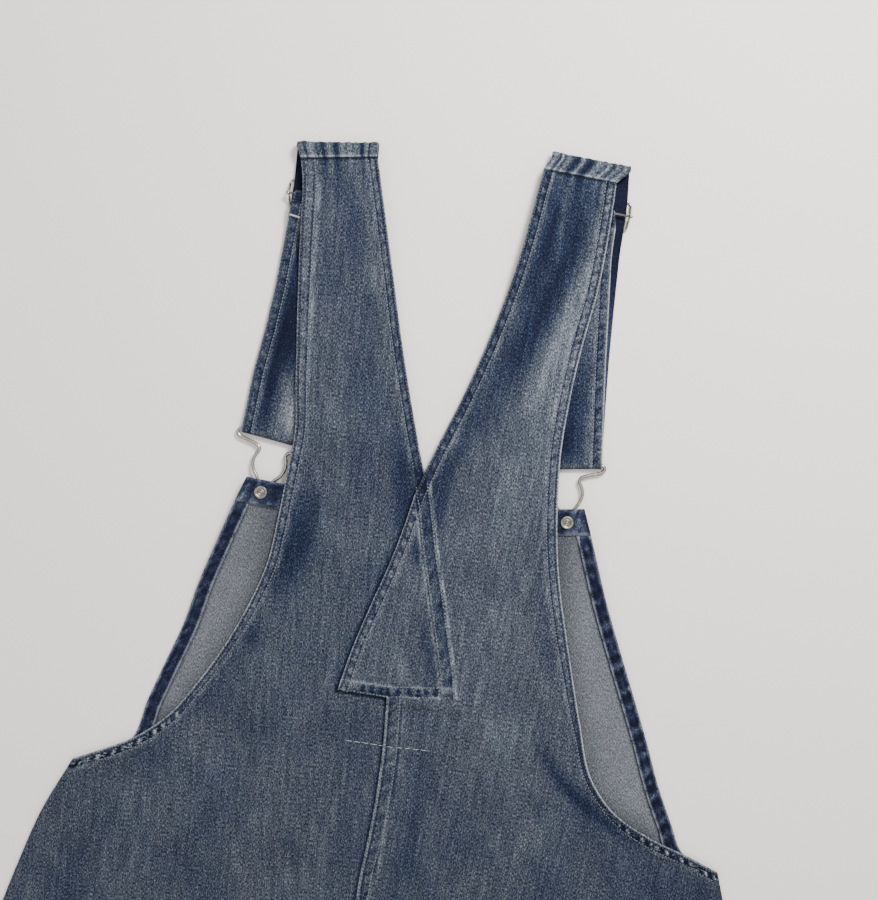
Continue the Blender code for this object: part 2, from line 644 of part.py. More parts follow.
def strap_slide(name, side, collection):
    """An arched wire frame with a bar across its middle. The bar's ends are rolled round the frame."""
    wide, high, corner = SLIDE_HALF_WIDTH, SLIDE_HALF_HEIGHT, SLIDE_CORNER_R
    steel = bpy.data.materials["steel"]
    frame = []
    for sx, sy, start in ((1, 1, 0), (-1, 1, 90), (-1, -1, 180), (1, -1, 270)):
        for k in range(4):
            a = math.radians(start + 30 * k)
            u = sx * (wide - corner) + corner * math.cos(a)
            v = sy * (high - corner) + corner * math.sin(a)
            frame.append((u, v))
        if sx < 0 < sy or sy < 0 < sx:
            frame += [(sx * wide, sy * share * (high - corner)) for share in (0.6, 0.3)]
            frame += [(sx * wide, -sy * share * (high - corner)) for share in (0.3, 0.6)]
    arch = []
    for u, v in frame:
        rise = (SLIDE_BAR_Z - SLIDE_WIRE_R) * (1 - ease(0, high - 2, abs(v)))
        arch.append(turned(SLIDES[side], u, v, SLIDE_WIRE_R + rise))
    loop = place(collection, name, wire_object(name, arch, SLIDE_WIRE_R, True), steel)
    reach = wide + SLIDE_BAR_OUT
    ends = [turned(SLIDES[side], u, 0, SLIDE_BAR_Z) for u in (-reach, reach)]
    bar = place(collection, name + "_bar", wire_object(name + "_bar", ends, SLIDE_WIRE_R, False), steel)
    knobs = bmesh.new()
    for end in ends:
        made = bmesh.ops.create_uvsphere(knobs, u_segments=10, v_segments=6, radius=SLIDE_KNOB_R * MM)
        bmesh.ops.translate(knobs, verts=made["verts"], vec=Vector(end) * MM)
    rolled = place(collection, name + "_knobs", mesh_of(knobs, name + "_knobs"), steel)
    for helper in (bar, rolled):
        helper.hide_render = True
        helper.display_type = "WIRE"
        join = loop.modifiers.new("join_" + helper.name, "BOOLEAN")
        join.operation = "UNION"
        join.object = helper
    return loop


def turned_piece(name, collection, profile, spot, z, finish):
    """A round piece from a profile (radius, height) that runs down its outer side."""
    mesh = bpy.data.meshes.new(name)
    bm = bmesh.new()
    rim = [bm.verts.new((r * MM, 0, h * MM)) for r, h in profile]
    for a, b in zip(rim, rim[1:]):
        bm.edges.new((a, b))
    bm.to_mesh(mesh)
    bm.free()
    obj = place(collection, name, mesh, finish)
    obj.location = Vector((spot.x, spot.y, z)) * MM
    spin = obj.modifiers.new("turn", "SCREW")
    spin.steps = spin.render_steps = 24
    spin.use_merge_vertices = True
    spin.merge_threshold = 0.00005
    spin.use_smooth_shade = True
    return obj


def main():
    for obj in list(bpy.data.objects):
        bpy.data.objects.remove(obj)
    garment = bpy.data.collections.new("suspender_trousers")
    helpers = bpy.data.collections.new("joined_helpers")
    for collection in (garment, helpers):
        bpy.context.scene.collection.children.link(collection)

    outside = material("denim_outside", DENIM_BACK, 0.9)
    inside = material("denim_inside", DENIM_INSIDE, 0.95)
    dark = material("denim_turned_hem", DENIM_DARK, 0.9)
    steel = material("steel", STEEL, 0.35, 1.0)

    half_gap = SEAM_GAP / 2
    left = back_panel("back_left", BACK_LEFT, LEFT_LAP, -half_gap, back_under)
    right = back_panel("back_right", BACK_RIGHT, RIGHT_LAP, half_gap, right_under)
    place(garment, "back_left", left, outside)
    place(garment, "back_right", right, outside)
    place(garment, "front_leg_left", front_leg("front_leg_left", BACK_LEFT, -half_gap), outside)
    place(garment, "front_leg_right", front_leg("front_leg_right", BACK_RIGHT, half_gap), outside)

    points = bib_points()
    place(garment, "bib", sheet_mesh("bib", points, button_lift), inside)
    top_hem = points[TOP_FACING_FROM:]
    place(garment, "bib_top_hem", sheet_mesh("bib_top_hem", top_hem, facing_under), dark)
    for side, columns in (("left", slice(0, 2)), ("right", slice(-2, None))):
        name = "bib_side_hem_" + side
        place(garment, name, sheet_mesh(name, side_facing_points(points, columns), facing_under), dark)

    button = [(0, NECK_TOP), (NECK_R, NECK_TOP), (NECK_R, BUTTON_HEAD), (BUTTON_R - 1, BUTTON_HEAD),
              (BUTTON_R, BUTTON_HEAD - 0.8), (BUTTON_R, BUTTON_EDGE), (BUTTON_R - BUTTON_EDGE, 0), (0, 0)]
    tack = [(0, TACK_HEIGHT - 0.4), (TACK_BOWL_R, TACK_HEIGHT - 0.4), (TACK_RING_R, TACK_HEIGHT),
            (TACK_R - 0.9, TACK_HEIGHT), (TACK_R, 0.5), (TACK_R - 0.3, 0), (0, 0)]
    tack_z = BIB_LIFT + 2 * (CLOTH + SEAM_GAP)
    for side in ("left", "right"):
        place(garment, "strap_front_" + side, strap_front("strap_front_" + side, side), outside)
        place(garment, "hook_buckle_" + side, hook_buckle("hook_buckle_" + side, side), steel)
        turned_piece("bib_button_" + side, garment, button, BUTTONS[side], 0, steel)
        turned_piece("bib_button_tack_" + side, garment, tack, BUTTONS[side], tack_z, steel)
        slide = strap_slide("strap_slide_" + side, side, helpers)
        helpers.objects.unlink(slide)
        garment.objects.link(slide)


main()
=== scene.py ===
import json
import math

import bmesh
import bpy
import numpy as np
from mathutils import Matrix, Vector

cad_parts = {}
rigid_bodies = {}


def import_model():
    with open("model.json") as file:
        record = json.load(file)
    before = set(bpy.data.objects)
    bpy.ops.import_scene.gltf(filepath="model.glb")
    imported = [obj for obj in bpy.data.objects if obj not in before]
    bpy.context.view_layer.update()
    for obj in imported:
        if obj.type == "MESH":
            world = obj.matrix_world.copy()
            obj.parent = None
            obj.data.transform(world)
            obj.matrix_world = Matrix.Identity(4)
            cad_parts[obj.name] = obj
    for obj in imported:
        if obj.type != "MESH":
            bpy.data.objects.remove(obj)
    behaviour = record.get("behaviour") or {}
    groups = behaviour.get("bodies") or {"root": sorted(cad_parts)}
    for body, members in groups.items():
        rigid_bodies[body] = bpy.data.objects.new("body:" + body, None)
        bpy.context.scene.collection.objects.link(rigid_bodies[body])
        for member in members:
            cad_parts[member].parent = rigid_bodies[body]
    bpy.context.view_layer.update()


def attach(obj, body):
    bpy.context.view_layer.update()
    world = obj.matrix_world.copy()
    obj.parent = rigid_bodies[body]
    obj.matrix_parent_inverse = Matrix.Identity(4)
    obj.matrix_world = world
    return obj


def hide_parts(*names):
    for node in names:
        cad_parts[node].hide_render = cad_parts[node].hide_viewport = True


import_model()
mm = 0.001  # every table below is in millimetres, in the frame's own axes

# Shader nodes and objects


def feed(tree, socket, value):
    # links another socket to this one, or gives it a fixed value
    if isinstance(value, bpy.types.NodeSocket):
        tree.links.new(value, socket)
    else:
        socket.default_value = value


def addNode(tree, kind, inputs=(), **settings):
    node = tree.nodes.new("ShaderNode" + kind)
    for title, value in settings.items():
        setattr(node, title, value)
    for title, value in dict(inputs).items():
        feed(tree, node.inputs[title], value)
    return node


def mathNode(tree, operation, *values):
    node = addNode(tree, "Math", operation=operation)
    for socket, value in zip(node.inputs, values):
        feed(tree, socket, value)
    return node.outputs[0]


def mixNode(tree, a, b, factor, blend="MIX"):
    sockets = {"A": a, "B": b, "Factor": factor}
    return addNode(tree, "Mix", sockets, data_type="RGBA", blend_type=blend).outputs["Result"]


def stretched(tree, vector, amounts, turn=0.0):
    sockets = {"Vector": vector, "Scale": amounts, "Rotation": (0, 0, math.radians(turn))}
    return addNode(tree, "Mapping", sockets).outputs[0]


def noiseNode(tree, vector, scale, detail=2.0, rough=0.6):
    sockets = {"Vector": vector, "Scale": scale, "Detail": detail, "Roughness": rough}
    return addNode(tree, "TexNoise", sockets).outputs["Fac"]


def bumpNode(tree, height, strength, distance):
    sockets = {"Height": height, "Strength": strength, "Distance": distance}
    return addNode(tree, "Bump", sockets).outputs["Normal"]


def rampNode(tree, value, stops):
    ramp = addNode(tree, "ValToRGB", {"Fac": value})
    ends = ramp.color_ramp.elements
    for stop, (position, colour) in zip((ends[0], ends[1]), (stops[0], stops[-1])):
        stop.position, stop.color = position, (*colour, 1)
    for position, colour in stops[1:-1]:
        ends.new(position).color = (*colour, 1)
    return ramp.outputs["Color"]


def newFinish(name):
    finish = bpy.data.materials.new(name)
    finish.use_nodes = True
    return finish, finish.node_tree


def dress(finish, sockets):
    shader = finish.node_tree.nodes["Principled BSDF"]
    for title, value in sockets.items():
        feed(finish.node_tree, shader.inputs[title], value)
    return finish


def addObject(name, data, place=(0, 0, 0)):
    item = bpy.data.objects.new(name, data)
    item.location = Vector(place) * mm
    bpy.context.scene.collection.objects.link(item)
    return item


# Camera, floor and light

studio = {
    "cameraPlace": (11.2, 474.4, 1100), "cameraRoll": 7.0, "lens": 51.16, "sensor": 36.0,
    "floorSize": 3200, "floorPlace": (0, 300, -0.4), "floorColour": (0.87, 0.835, 0.79, 1),
    "keyPlace": (430, 1250, 950), "keyAim": (0, 450, 0), "keySize": 380, "keyPower": 24,
    "skyStrength": 1.36, "skyTones": [(0.15, (0.2, 0.2, 0.2)), (0.75, (1.0, 1.0, 1.0))],
}


def makeCamera():
    data = bpy.data.cameras.new("photoCamera")
    data.sensor_fit, data.lens = "VERTICAL", studio["lens"]
    data.sensor_width = data.sensor_height = studio["sensor"]
    camera = addObject("photoCamera", data, studio["cameraPlace"])
    camera.rotation_euler = (0, 0, math.radians(studio["cameraRoll"]))
    bpy.context.scene.camera = camera


def makeLight():
    data = bpy.data.lights.new("keyLight", "AREA")
    data.shape, data.size, data.energy = "DISK", studio["keySize"] * mm, studio["keyPower"]
    light = addObject("keyLight", data, studio["keyPlace"])
    aim = Vector(studio["keyAim"]) - Vector(studio["keyPlace"])
    light.rotation_euler = aim.to_track_quat("-Z", "Y").to_euler()
    # the sky is bright overhead and dimmer towards the walls, so that the metal shows dark outlines
    world = bpy.data.worlds.new("paleRoom")
    world.use_nodes = True
    tree = world.node_tree
    place = addNode(tree, "TexCoord").outputs["Generated"]
    upward = addNode(tree, "SeparateXYZ", {"Vector": place}).outputs["Z"]
    background = tree.nodes["Background"]
    feed(tree, background.inputs["Color"], rampNode(tree, upward, studio["skyTones"]))
    feed(tree, background.inputs["Strength"], studio["skyStrength"])
    bpy.context.scene.world = world


def makeFloor():
    bm = bmesh.new()
    bmesh.ops.create_grid(bm, x_segments=1, y_segments=1, size=studio["floorSize"] * mm / 2)
    bmesh.ops.translate(bm, verts=bm.verts, vec=Vector(studio["floorPlace"]) * mm)
    mesh = bpy.data.meshes.new("paleFloor")
    bm.to_mesh(mesh)
    bm.free()
    sockets = {"Base Color": studio["floorColour"], "Roughness": 0.7, "Specular IOR Level": 0.2}
    mesh.materials.append(dress(newFinish("paleFloor")[0], sockets))
    addObject("paleFloor", mesh)


makeCamera()
makeLight()
makeFloor()
print("camera and studio made")

# Sizes of the garment

denim = {
    "wall": 1.2, "leastWall": 0.45, "gap": 0.3, "lapRise": 2.5, "hookRise": 7.6,
    "hemStops": (0, 0.6, 1.3, 2.2, 3.4, 4.7, 6.0, 7.2, 8.1, 9.0, 10.0, 11.5, 13.5),
}

crotchRow, hipRow, crossingRow = 5, 10, 20  # rows of both backs where their edges turn a corner
# Each row is one section across a back: side x, side y, centre x, centre y
backLeft = {
    "rows": [
        (-322, -740, -78, -740), (-323, -722, -76, -722), (-331, -560, -63, -560), (-337, -400, -43, -400),
        (-340, -250, -20, -245), (-338, -134, -6, -134), (-331, -50, -9, -40), (-319, 20, -12, 40),
        (-304, 80, -12.3, 100), (-290, 125, -8.7, 140), (-268, 174, -6.3, 180), (-250, 182, -6, 197),
        (-219, 198, -5.9, 215), (-189, 224, -6.8, 238), (-170, 252, -7.8, 262), (-149, 290, -5.6, 292),
        (-134, 325, -5, 328), (-123, 360, -5, 365), (-118, 400, -5, 405), (-115, 440, -5, 440),
        (-113, 475, -5, 472), (-118, 520, -19, 518), (-123, 570, -33, 568), (-127, 615, -45, 615),
        (-130, 660, -57, 662), (-133, 693, -66, 697), (-136, 706.7, -71, 715.7),
    ],
    "lapFrom": 14, "lap": [(50, 265), (44, 296), (37, 328), (28, 362), (18, 402), (6, 439), (-5, 472)],
    "middle": 66, "seamOffset": -0.15, "onTop": False,
}
backRight = {
    "rows": [
        (322, -740, 78, -740), (323, -722, 76, -722), (331, -560, 63, -560), (337, -400, 43, -400),
        (340, -250, 20, -245), (338, -134, -6, -134), (332, -60, -9, -40), (324, 0, -12, 40),
        (312, 65, -12.3, 100), (300, 120, -8.7, 140), (292, 144, -6.3, 180), (261, 156, -6, 197),
        (228, 168, -5.9, 215), (198, 184, -6.8, 238), (178, 206, -7.3, 250), (159, 259, -7.7, 259.3),
        (148, 297, -5.3, 296), (136, 340, -5, 338), (127, 375, -5, 375), (120, 415, -5, 408),
        (116.5, 450, -5, 434), (115, 480, 8, 473), (116.5, 520, 25, 519), (122, 575, 42, 573),
        (129, 621, 54, 620), (132, 660, 62, 663), (133.4, 695, 67.4, 701), (133.8, 718.2, 70.6, 722.7),
    ],
    "lapFrom": 15, "lap": [(-50, 260.5), (-42, 297), (-30, 338), (-18.5, 375), (-10, 409), (-5, 434)],
    "middle": 74, "seamOffset": 0.15, "onTop": True,
}
fineness = {"fine": 2.5, "coarse": 12.0, "fineAbove": 60, "shoulder": 1.2}

# How the folds lie: from x, y to x, y, then half width and height
lieFolds = [
    (9, 235, 4, -100, 11, 1.5), (186, 222, 238, 158, 14, 2.2), (60, 120, 150, -60, 34, 1.8),
    (-70, 150, -150, -40, 36, 1.6), (-200, 70, -185, -230, 44, 2.3), (225, 40, 195, -250, 44, 2.3),
    (-40, -120, -150, -200, 26, 2.2), (40, -125, 165, -215, 26, 2.2), (-120, -260, -225, -470, 38, 2.6),
    (130, -300, 240, -520, 38, 2.6), (-260, -400, -190, -660, 34, 2.2), (200, -430, 150, -690, 34, 2.2),
]
hookReach = {"across": 62.0, "above": 70.0, "below": 95.0}  # how far a hook lifts the bib round its button
buttonPlaces = {"left": (-135.3, 420.0, -8.3), "right": (127.0, 426.2, 7.6)}  # x, y, tilt
slidePlaces = {"left": (-105.5, 680.0, 4.5), "right": (111.5, 695.0, -4.0)}

# Shared maths


def ease(low, high, value):
    share = np.clip((value - low) / (high - low), 0, 1)
    return share * share * (3 - 2 * share)


def hump(offset, width):
    return np.exp(-((offset / width) ** 2))


def ripple(turns, seed):
    # an uneven wave between about -1 and 1
    angle = 2 * math.pi * turns
    return (np.sin(angle + seed) + 0.7 * np.sin(0.61 * angle + 2.3 * seed)
            + 0.5 * np.sin(1.73 * angle + 4.1 * seed)) / 1.7


def mottle(x, y, size, seed):
    # soft uneven patches about as large as size
    return (ripple(x / size + 0.31 * y / size, seed) * ripple(y / size - 0.27 * x / size, seed + 1.7)
            + 0.6 * ripple(0.83 * (x + y) / size, seed + 3.1) * ripple(0.71 * (x - y) / size, seed + 5.9))


def smoothEdge(points, corners, counts):
    # a smooth curve through the points, with a number of steps in each stretch
    points = np.asarray(points, float)
    spans = np.linalg.norm(np.diff(points, axis=0), axis=1)[:, None]
    starts = np.diff(points, axis=0) / spans
    ends, ways = starts.copy(), starts.copy()
    for k in range(1, len(ways)):
        if k not in corners:
            before, after = spans[k - 1], spans[k]
            starts[k] = ends[k - 1] = (ways[k - 1] * after + ways[k] * before) / (before + after)
    edge = []
    for a, b, start, end, span, count in zip(points, points[1:], starts, ends, spans, counts):
        t = (np.arange(count) / count)[:, None]
        edge.append(a * (2 * t**3 - 3 * t**2 + 1) + start * span * (t**3 - 2 * t**2 + t)
                    + b * (3 * t**2 - 2 * t**3) + end * span * (t**3 - t**2))
    return np.vstack(edge + [points[-1:]])


def alongLine(x, y, line):
    # distance to the line, positive on its left, and how far along it
    line = np.asarray(line, float)
    nearest = np.full(x.shape, 1e9)
    run = np.zeros(x.shape)
    side = np.ones(x.shape)
    passed = 0.0
    for a, b in zip(line[:-1], line[1:]):
        way = b - a
        span = np.hypot(*way)
        way = way / span
        dx, dy = x - a[0], y - a[1]
        along = np.clip(dx * way[0] + dy * way[1], 0, span)
        away = np.hypot(dx - along * way[0], dy - along * way[1])
        closer = away < nearest
        nearest = np.where(closer, away, nearest)
        run = np.where(closer, passed + along, run)
        side = np.where(closer, np.sign(way[0] * dy - way[1] * dx), side)
        passed += span
    return nearest * np.where(side == 0, 1, side), run


def acrossRows(left, right, stops, middle):
    # points from each left edge point to its right one, close together in the hems
    rows = []
    ways = [np.gradient(edge, axis=0) for edge in (left, right)]
    for i, (a, b) in enumerate(zip(left, right)):
        across = (b - a) / np.hypot(*(b - a))
        row = []
        for edge, way, sign in ((left, ways[0], 1), (right, ways[1], -1)):
            tangent = way[i] / np.hypot(*way[i])
            slant = max(0.4, abs(across[0] * tangent[1] - across[1] * tangent[0]))
            row.append([edge[i] + across * sign * stop / slant for stop in stops])
        shares = np.linspace(0, 1, middle + 2)[1:-1, None]
        between = row[0][-1] * (1 - shares) + row[1][-1] * shares
        rows.append(np.vstack([row[0], between, row[1][::-1]]))
    return np.array(rows)


# Heights at which the cloth lies


def buttonLift(x, y):
    lift = 0
    for bx, by, _ in buttonPlaces.values():
        reach = np.where(y > by, hookReach["above"], hookReach["below"])
        lift = lift + np.exp(-((x - bx) / hookReach["across"]) ** 2 - ((y - by) / reach) ** 2)
    return denim["hookRise"] * lift


def lieHeight(x, y):
    # the left back's underside, and the right one's where nothing lies between them
    height = 0
    for x0, y0, x1, y1, width, rise in lieFolds:
        away = np.abs(alongLine(x, y, [(x0, y0), (x1, y1)])[0])
        height = height + rise * hump(away, width)
    side = 335 - 45 * ease(-50, 170, y)
    inseam = 78 * ease(-150, -740, y)
    fade = ease(side, side - 50, np.abs(x)) * ease(0, 35, np.abs(x) + 35 * ease(-150, -130, y) - inseam)
    rest = 1.5 + 1.8 * ease(60, 170, y) + 1.6 * ease(440, 480, y) + 4.8 * ease(600, 650, y)
    return rest + buttonLift(x, y) + height * fade


leftFreeEdge = np.array(backLeft["lap"] + [row[2:] for row in backLeft["rows"][crossingRow + 1:]], float)


def lappedHeight(x, y):
    covered = ease(246, 258, y) * (1 - ease(6, 30, x - np.interp(y, leftFreeEdge[:, 1], leftFreeEdge[:, 0])))
    return lieHeight(x, y) + covered * denim["lapRise"]


# Hems, seams, creases and wear

hemColumns = "width relief rows puff pucker slant edge band blotch groove ridge spots".split()
hemLooks = {name: dict(zip(hemColumns, values)) for name, *values in (
    ("hem", 9.6, 0.8, (1.9, 8.3), 0.35, 9.0, 0.05, 0.32, -0.06, 0.14, 0.46, 0.13, 0.5),
    ("armhole", 9.4, 0.8, (2.1, 8.2), 0.45, 7.6, 0.1, 0.38, 0.05, 0.26, 0.5, 0.14, 0.6),
    ("legHem", 19.0, 0.8, (1.8, 16.5), 0.5, 14.0, 0.35, 0.22, 0.0, 0.16, 0.24, 0.1, 0.3),
)}
hemLooks["inner"] = dict(hemLooks["hem"], edgeShade=-0.1, band=0.02, blotch=0.18, spots=0.6)
# Sewn bands inside a panel, measured from their line: rows of stitches, pale ridges and how they pucker
bandColumns = ("span relief rows ridges puff pucker slant band blotch groove ridge spots "
               "rowTone shadeSide").split()
bandLooks = {name: dict(zip(bandColumns, values)) for name, *values in (
    ("base", (0.2, 10.2), 0.9, (1.3, 9.6), (0.4, 10.8), 0.5, 7.7, 0.02, 0.06, 0.03, 0.2, 0.1, 0.0, 0.2, 1.4),
    ("under", (-1.2, 10.8), 0.75, (0, 9.7), (-2.3, 12), 0.4, 13, 0.05, -0.05, 0.08, 0.2, 0.3, 0.55,
     0.12, 1.2),
    ("felled", (0.1, 12.3), 0.9, (2, 11.7), (0.8, 14.4), 0.35, 10, 0.08, 0, 0.1, 0.22, 0.22, 0.5, 0.12, 1.2),
)}
bandLooks["base"].update(bars=(21.3, 29.3, 37.3, 43.8, 52.3, 62.2, 70.0, 77.1, 85.0), barTone=-0.42)
# Shared by hems and bands: the edge that keeps its width, and the dent along a row of stitches
sewn = {"edgeZone": 2.5, "dent": 0.3, "dentHalf": 0.6}
# How a hem goes on along its run: run, band width, pucker, tone, worn edge
courses = {
    "armholeLeft": [
        (0, 0.95, 2.6, -0.04, 0.9), (80, 0.95, 2.4, 0, 0.9), (115, 0.8, 0.7, 0.02, 1.2),
        (170, 0.85, 0.45, 0.02, 1.3), (260, 1, 0.5, 0.02, 1.0), (340, 1.1, 0.5, 0.03, 0.8),
        (440, 1.3, 0.35, 0.04, 0.7), (560, 1.6, 0.2, 0.05, 0.5), (720, 1.7, 0.1, 0.05, 0.5),
    ],
    "armholeRight": [
        (0, 0.95, 2.8, -0.06, 0.7), (85, 0.9, 2.4, -0.08, 0.9), (115, 0.5, 0.6, -0.12, 1.5),
        (165, 0.5, 0.2, -0.18, 1.7), (190, 0.8, 0.4, -0.1, 1.4), (260, 1.15, 0.5, 0.02, 1.1),
        (380, 1.2, 0.3, 0.03, 1.3), (520, 1.2, 0.6, 0.0, 1.2), (720, 1.1, 0.7, 0.02, 1.0),
    ],
    "innerLeft": [
        (0, 1, 0.7, -0.1, 0.6), (40, 1, 0.7, -0.04, 0.8), (100, 1, 0.6, 0.0, 0.9), (260, 1, 0.4, 0.04, 1.0),
    ],
    "innerRight": [
        (0, 1, 0.9, 0.06, 1.1), (150, 1, 0.9, 0.01, 0.9), (195, 1, 0.8, -0.1, 0.6), (250, 1, 0.8, -0.05, 0.7),
        (360, 1, 0.9, -0.05, 0.8), (480, 1, 0.6, -0.07, 0.9),
    ],
}


def bars(wave):
    return np.tanh(1.7 * wave)


def flecks(run, depth, seed):
    # a few dark spots along a band, at uneven distances
    far = ripple(run / 37 + 0.05 * depth, seed + 4) * ripple(run / 13.1 + 0.1 * depth, seed + 5.5)
    return np.clip(far - 0.3, 0, 0.6)


def depthIn(inward, wide):
    # distance in from an edge, as on a band of the usual width
    return np.where(inward < sewn["edgeZone"], inward, sewn["edgeZone"] + (inward - sewn["edgeZone"]) / wide)


def hemProfile(inward, run, look, seed, course=((0, 1, 1, 0, 1),)):
    # height and tone over a turned hem, at a distance in from its edge
    starts, *courseColumns = zip(*course)
    wide, lively, level, worn = (np.interp(run, starts, column) for column in courseColumns)
    width, (first, second) = look["width"], look["rows"]
    depth = depthIn(inward, wide)
    inside = ease(-0.4, 0.1, depth)
    wave = bars(ripple(run / look["pucker"] + depth * look["slant"], seed))
    fine = ripple(run / (look["pucker"] * 0.43) + depth * 0.2, seed + 2.0)
    even = np.minimum(lively, 0.8)
    between = ease(first, first + 1.4, depth) * ease(second, second - 1.4, depth)
    height = look["relief"] * ease(width + 1.0, width - 1.2, depth) * inside
    height -= 0.7 * np.clip(1 - depth / 1.5, 0, 1) ** 2 * inside
    height += look["puff"] * lively * wave * (between + 0.3 * hump(depth - width - 2.5, 3.0))
    tone = look["edge"] * worn * hump(depth - 0.5, 0.9) * inside
    tone += between * (look["band"] + level + look["blotch"] * (0.9 * lively * wave + 0.3 * even * fine)
                       - look["spots"] * even * flecks(run, depth, seed))
    tone += look.get("edgeShade", 0.0) * hump(depth - 2.4, 1.5) * inside
    tone += look["ridge"] * hump(depth - second - 1.9, 0.9) * (0.8 + 0.5 * ripple(run / 31, seed))
    # the dark line beside each row is indigo kept in its dent together with painted shade
    for row, side, share in ((first, 0.0, 1.0), (second, 0.9, 0.5)):
        height -= sewn["dent"] * hump(depth - row, sewn["dentHalf"])
        tone -= look["groove"] * share * hump(depth - row + side, 0.6)
        tone += 0.09 * hump(depth - row - 0.5, 0.7)
    return height, tone


def bandProfile(inward, run, look, seed, course=((0, 1),)):
    # height and tone over a sewn band that lies within a panel
    depth = depthIn(inward, np.interp(run, *zip(*course)))
    (low, high), (first, second), ridges = look["span"], look["rows"], look["ridges"]
    wave = bars(ripple(run / look["pucker"] + depth * look["slant"], seed))
    fine = ripple(run / (look["pucker"] * 0.37) + depth * 0.2, seed + 2.0)
    between = ease(first, first + 1.2, depth) * ease(second, second - 1.2, depth)
    height = look["relief"] * ease(low - 1.0, low + 0.4, depth) * ease(high + 1.0, high - 1.2, depth)
    height += look["puff"] * wave * between
    tone = look["band"] + look["blotch"] * (0.9 * wave + 0.3 * fine)
    tone = tone - look["spots"] * flecks(run, depth, seed)
    for i, place in enumerate(look.get("bars", ())):
        bar = hump(run - place - 0.12 * (depth - 5) * (-1) ** i, 1.5 + 0.3 * (i % 3))
        tone = tone + look["barTone"] * bar
        height -= 0.5 * bar * between
    tone = tone * between
    for ridge in ridges:
        tone = tone + look["ridge"] * hump(depth - ridge, 1.0) * (0.85 + 0.4 * ripple(run / 29 + ridge, seed))
    # the dark line beside each row, set off to its shaded side, is indigo kept in the dent together with
    # painted shade
    for row in (first, second):
        height -= sewn["dent"] * hump(depth - row, sewn["dentHalf"])
        tone += look["rowTone"] * hump(depth - row, 0.8)
        tone -= look["groove"] * hump(depth - row - look["shadeSide"], 0.7)
    return height, tone


# Wear: half width, tone (negative is navy, positive is pale), then x and y of points along it
leftWear = [
    (12, -0.24, -95, 416, -97, 386, -102, 364, -108, 344), (7, -0.12, -126, 306, -129, 288),
    (10, -0.2, -24, 480, -17, 454, -11, 428, -15, 412), (14, -0.05, -58, 470, -50, 420),
    (3.5, 0.1, -84, 694, -72, 657, -62, 619, -51, 579, -38, 539),
    (12, -0.07, -108, 703, -92, 681, -80, 650, -76, 600), (5, 0.06, -121, 700, -114, 610, -108, 520),
    (16, -0.05, -70, 560, -60, 500, -40, 480), (14, 0.035, -90, 540, -78, 480, -66, 430),
    (9, -0.05, -139, 291, -155, 246, -181, 212), (26, -0.06, -240, 120, -262, 60, -275, -20),
    (30, 0.02, -70, 230, -80, 160, -90, 60), (12, -0.03, -30, 230, -34, 180), (12, -0.04, -60, 240, -75, 200),
    (26, -0.04, -150, 160, -140, 60, -150, -40), (30, 0.03, -190, 130, -185, 20, -190, -120),
    (60, 0.05, -180, -200, -190, -420), (14, 0.06, -120, -300, -170, -330),
    (10, 0.05, -110, -350, -150, -372),
]
rightWear = [
    (24, -0.09, 96, 712, 90, 670, 80, 632),
    (15, -0.26, 106, 715, 107, 679, 100, 645, 87, 610, 72, 572, 54, 533, 40, 505),
    (7, -0.2, 82, 711, 84, 683, 79, 652, 68, 615), (3, 0.1, 90, 716, 92, 687, 92, 654, 89, 628),
    (9, 0.2, 121, 680, 118, 647, 112, 623, 104, 586, 93, 551, 86, 520),
    (15, 0.07, 86, 520, 78, 456, 73, 404, 80, 340), (8, 0.05, 108, 560, 100, 500, 98, 440),
    (8, -0.2, 30, 478, 16, 450, 17, 431, 17, 411), (8, -0.1, 30, 478, 38, 500),
    (6, -0.2, 1.5, 456, 3.5, 440, 3, 428), (3.4, -0.1, 5, 421, 9, 402, 13, 387),
    (3.0, -0.2, 0, 396, 2, 384, 4, 376), (5, -0.09, 18, 325, 25, 300, 31, 275),
    # the second stroke here, from 20, 250, is painted shade along the trough right of the centre seam
    (3.2, -0.13, 28, 352, 33, 330), (11, -0.07, 20, 250, 28, 208, 30, 150, 24, 100, 16, -40),
    # painted shade in the valley along the curled right armhole, where the crease of the same line lies
    (6, -0.17, 129, 231, 149, 205, 166, 191, 181, 181, 199, 172, 215, 164),
    (9, -0.05, 112, 430, 114, 360, 128, 300, 126, 240), (26, 0.03, 60, 330, 80, 270, 110, 200),
    (16, -0.05, 150, 120, 120, 40), (26, -0.06, 240, 120, 262, 60, 275, -20),
    (26, 0.03, 110, 130, 100, 60, 110, -60), (30, 0.03, 190, 60, 185, -120), (60, 0.05, 180, -200, 190, -420),
    (14, 0.06, 120, -300, 170, -330), (10, 0.05, 110, -350, 150, -372),
]
# Creases: half width, height, tone on it, then x and y of points along it
# the tone on each crease follows its height: painted shade in the valleys and painted light on the ridges
leftCreases = [
    (5, 0.5, 0.02, -60, 700, -52, 640, -40, 590), (9, -0.4, -0.015, -96, 640, -92, 560),
    (16, -0.7, -0.02, -70, 250, -110, 215, -150, 205), (9, 0.6, 0.02, -45, 258, -75, 225),
    (8, -0.5, -0.03, -24, 245, -28, 170, -36, 90), (18, -0.9, -0.02, -200, 190, -190, 120, -200, 40),
    (14, 0.9, 0.02, -130, 120, -100, 60, -90, 0), (14, 0.8, 0.02, -250, 150, -235, 80),
    (9, -1.2, -0.03, -20, -120, -90, -165, -160, -180), (8, -1.0, -0.03, -24, -135, -80, -200, -130, -225),
    (9, -1.3, -0.03, -110, -300, -170, -322, -230, -318), (7, -1.0, -0.03, -100, -345, -160, -362),
    (9, -1.2, -0.03, -290, -330, -240, -352), (12, -1.0, -0.03, -130, -540, -200, -560),
]
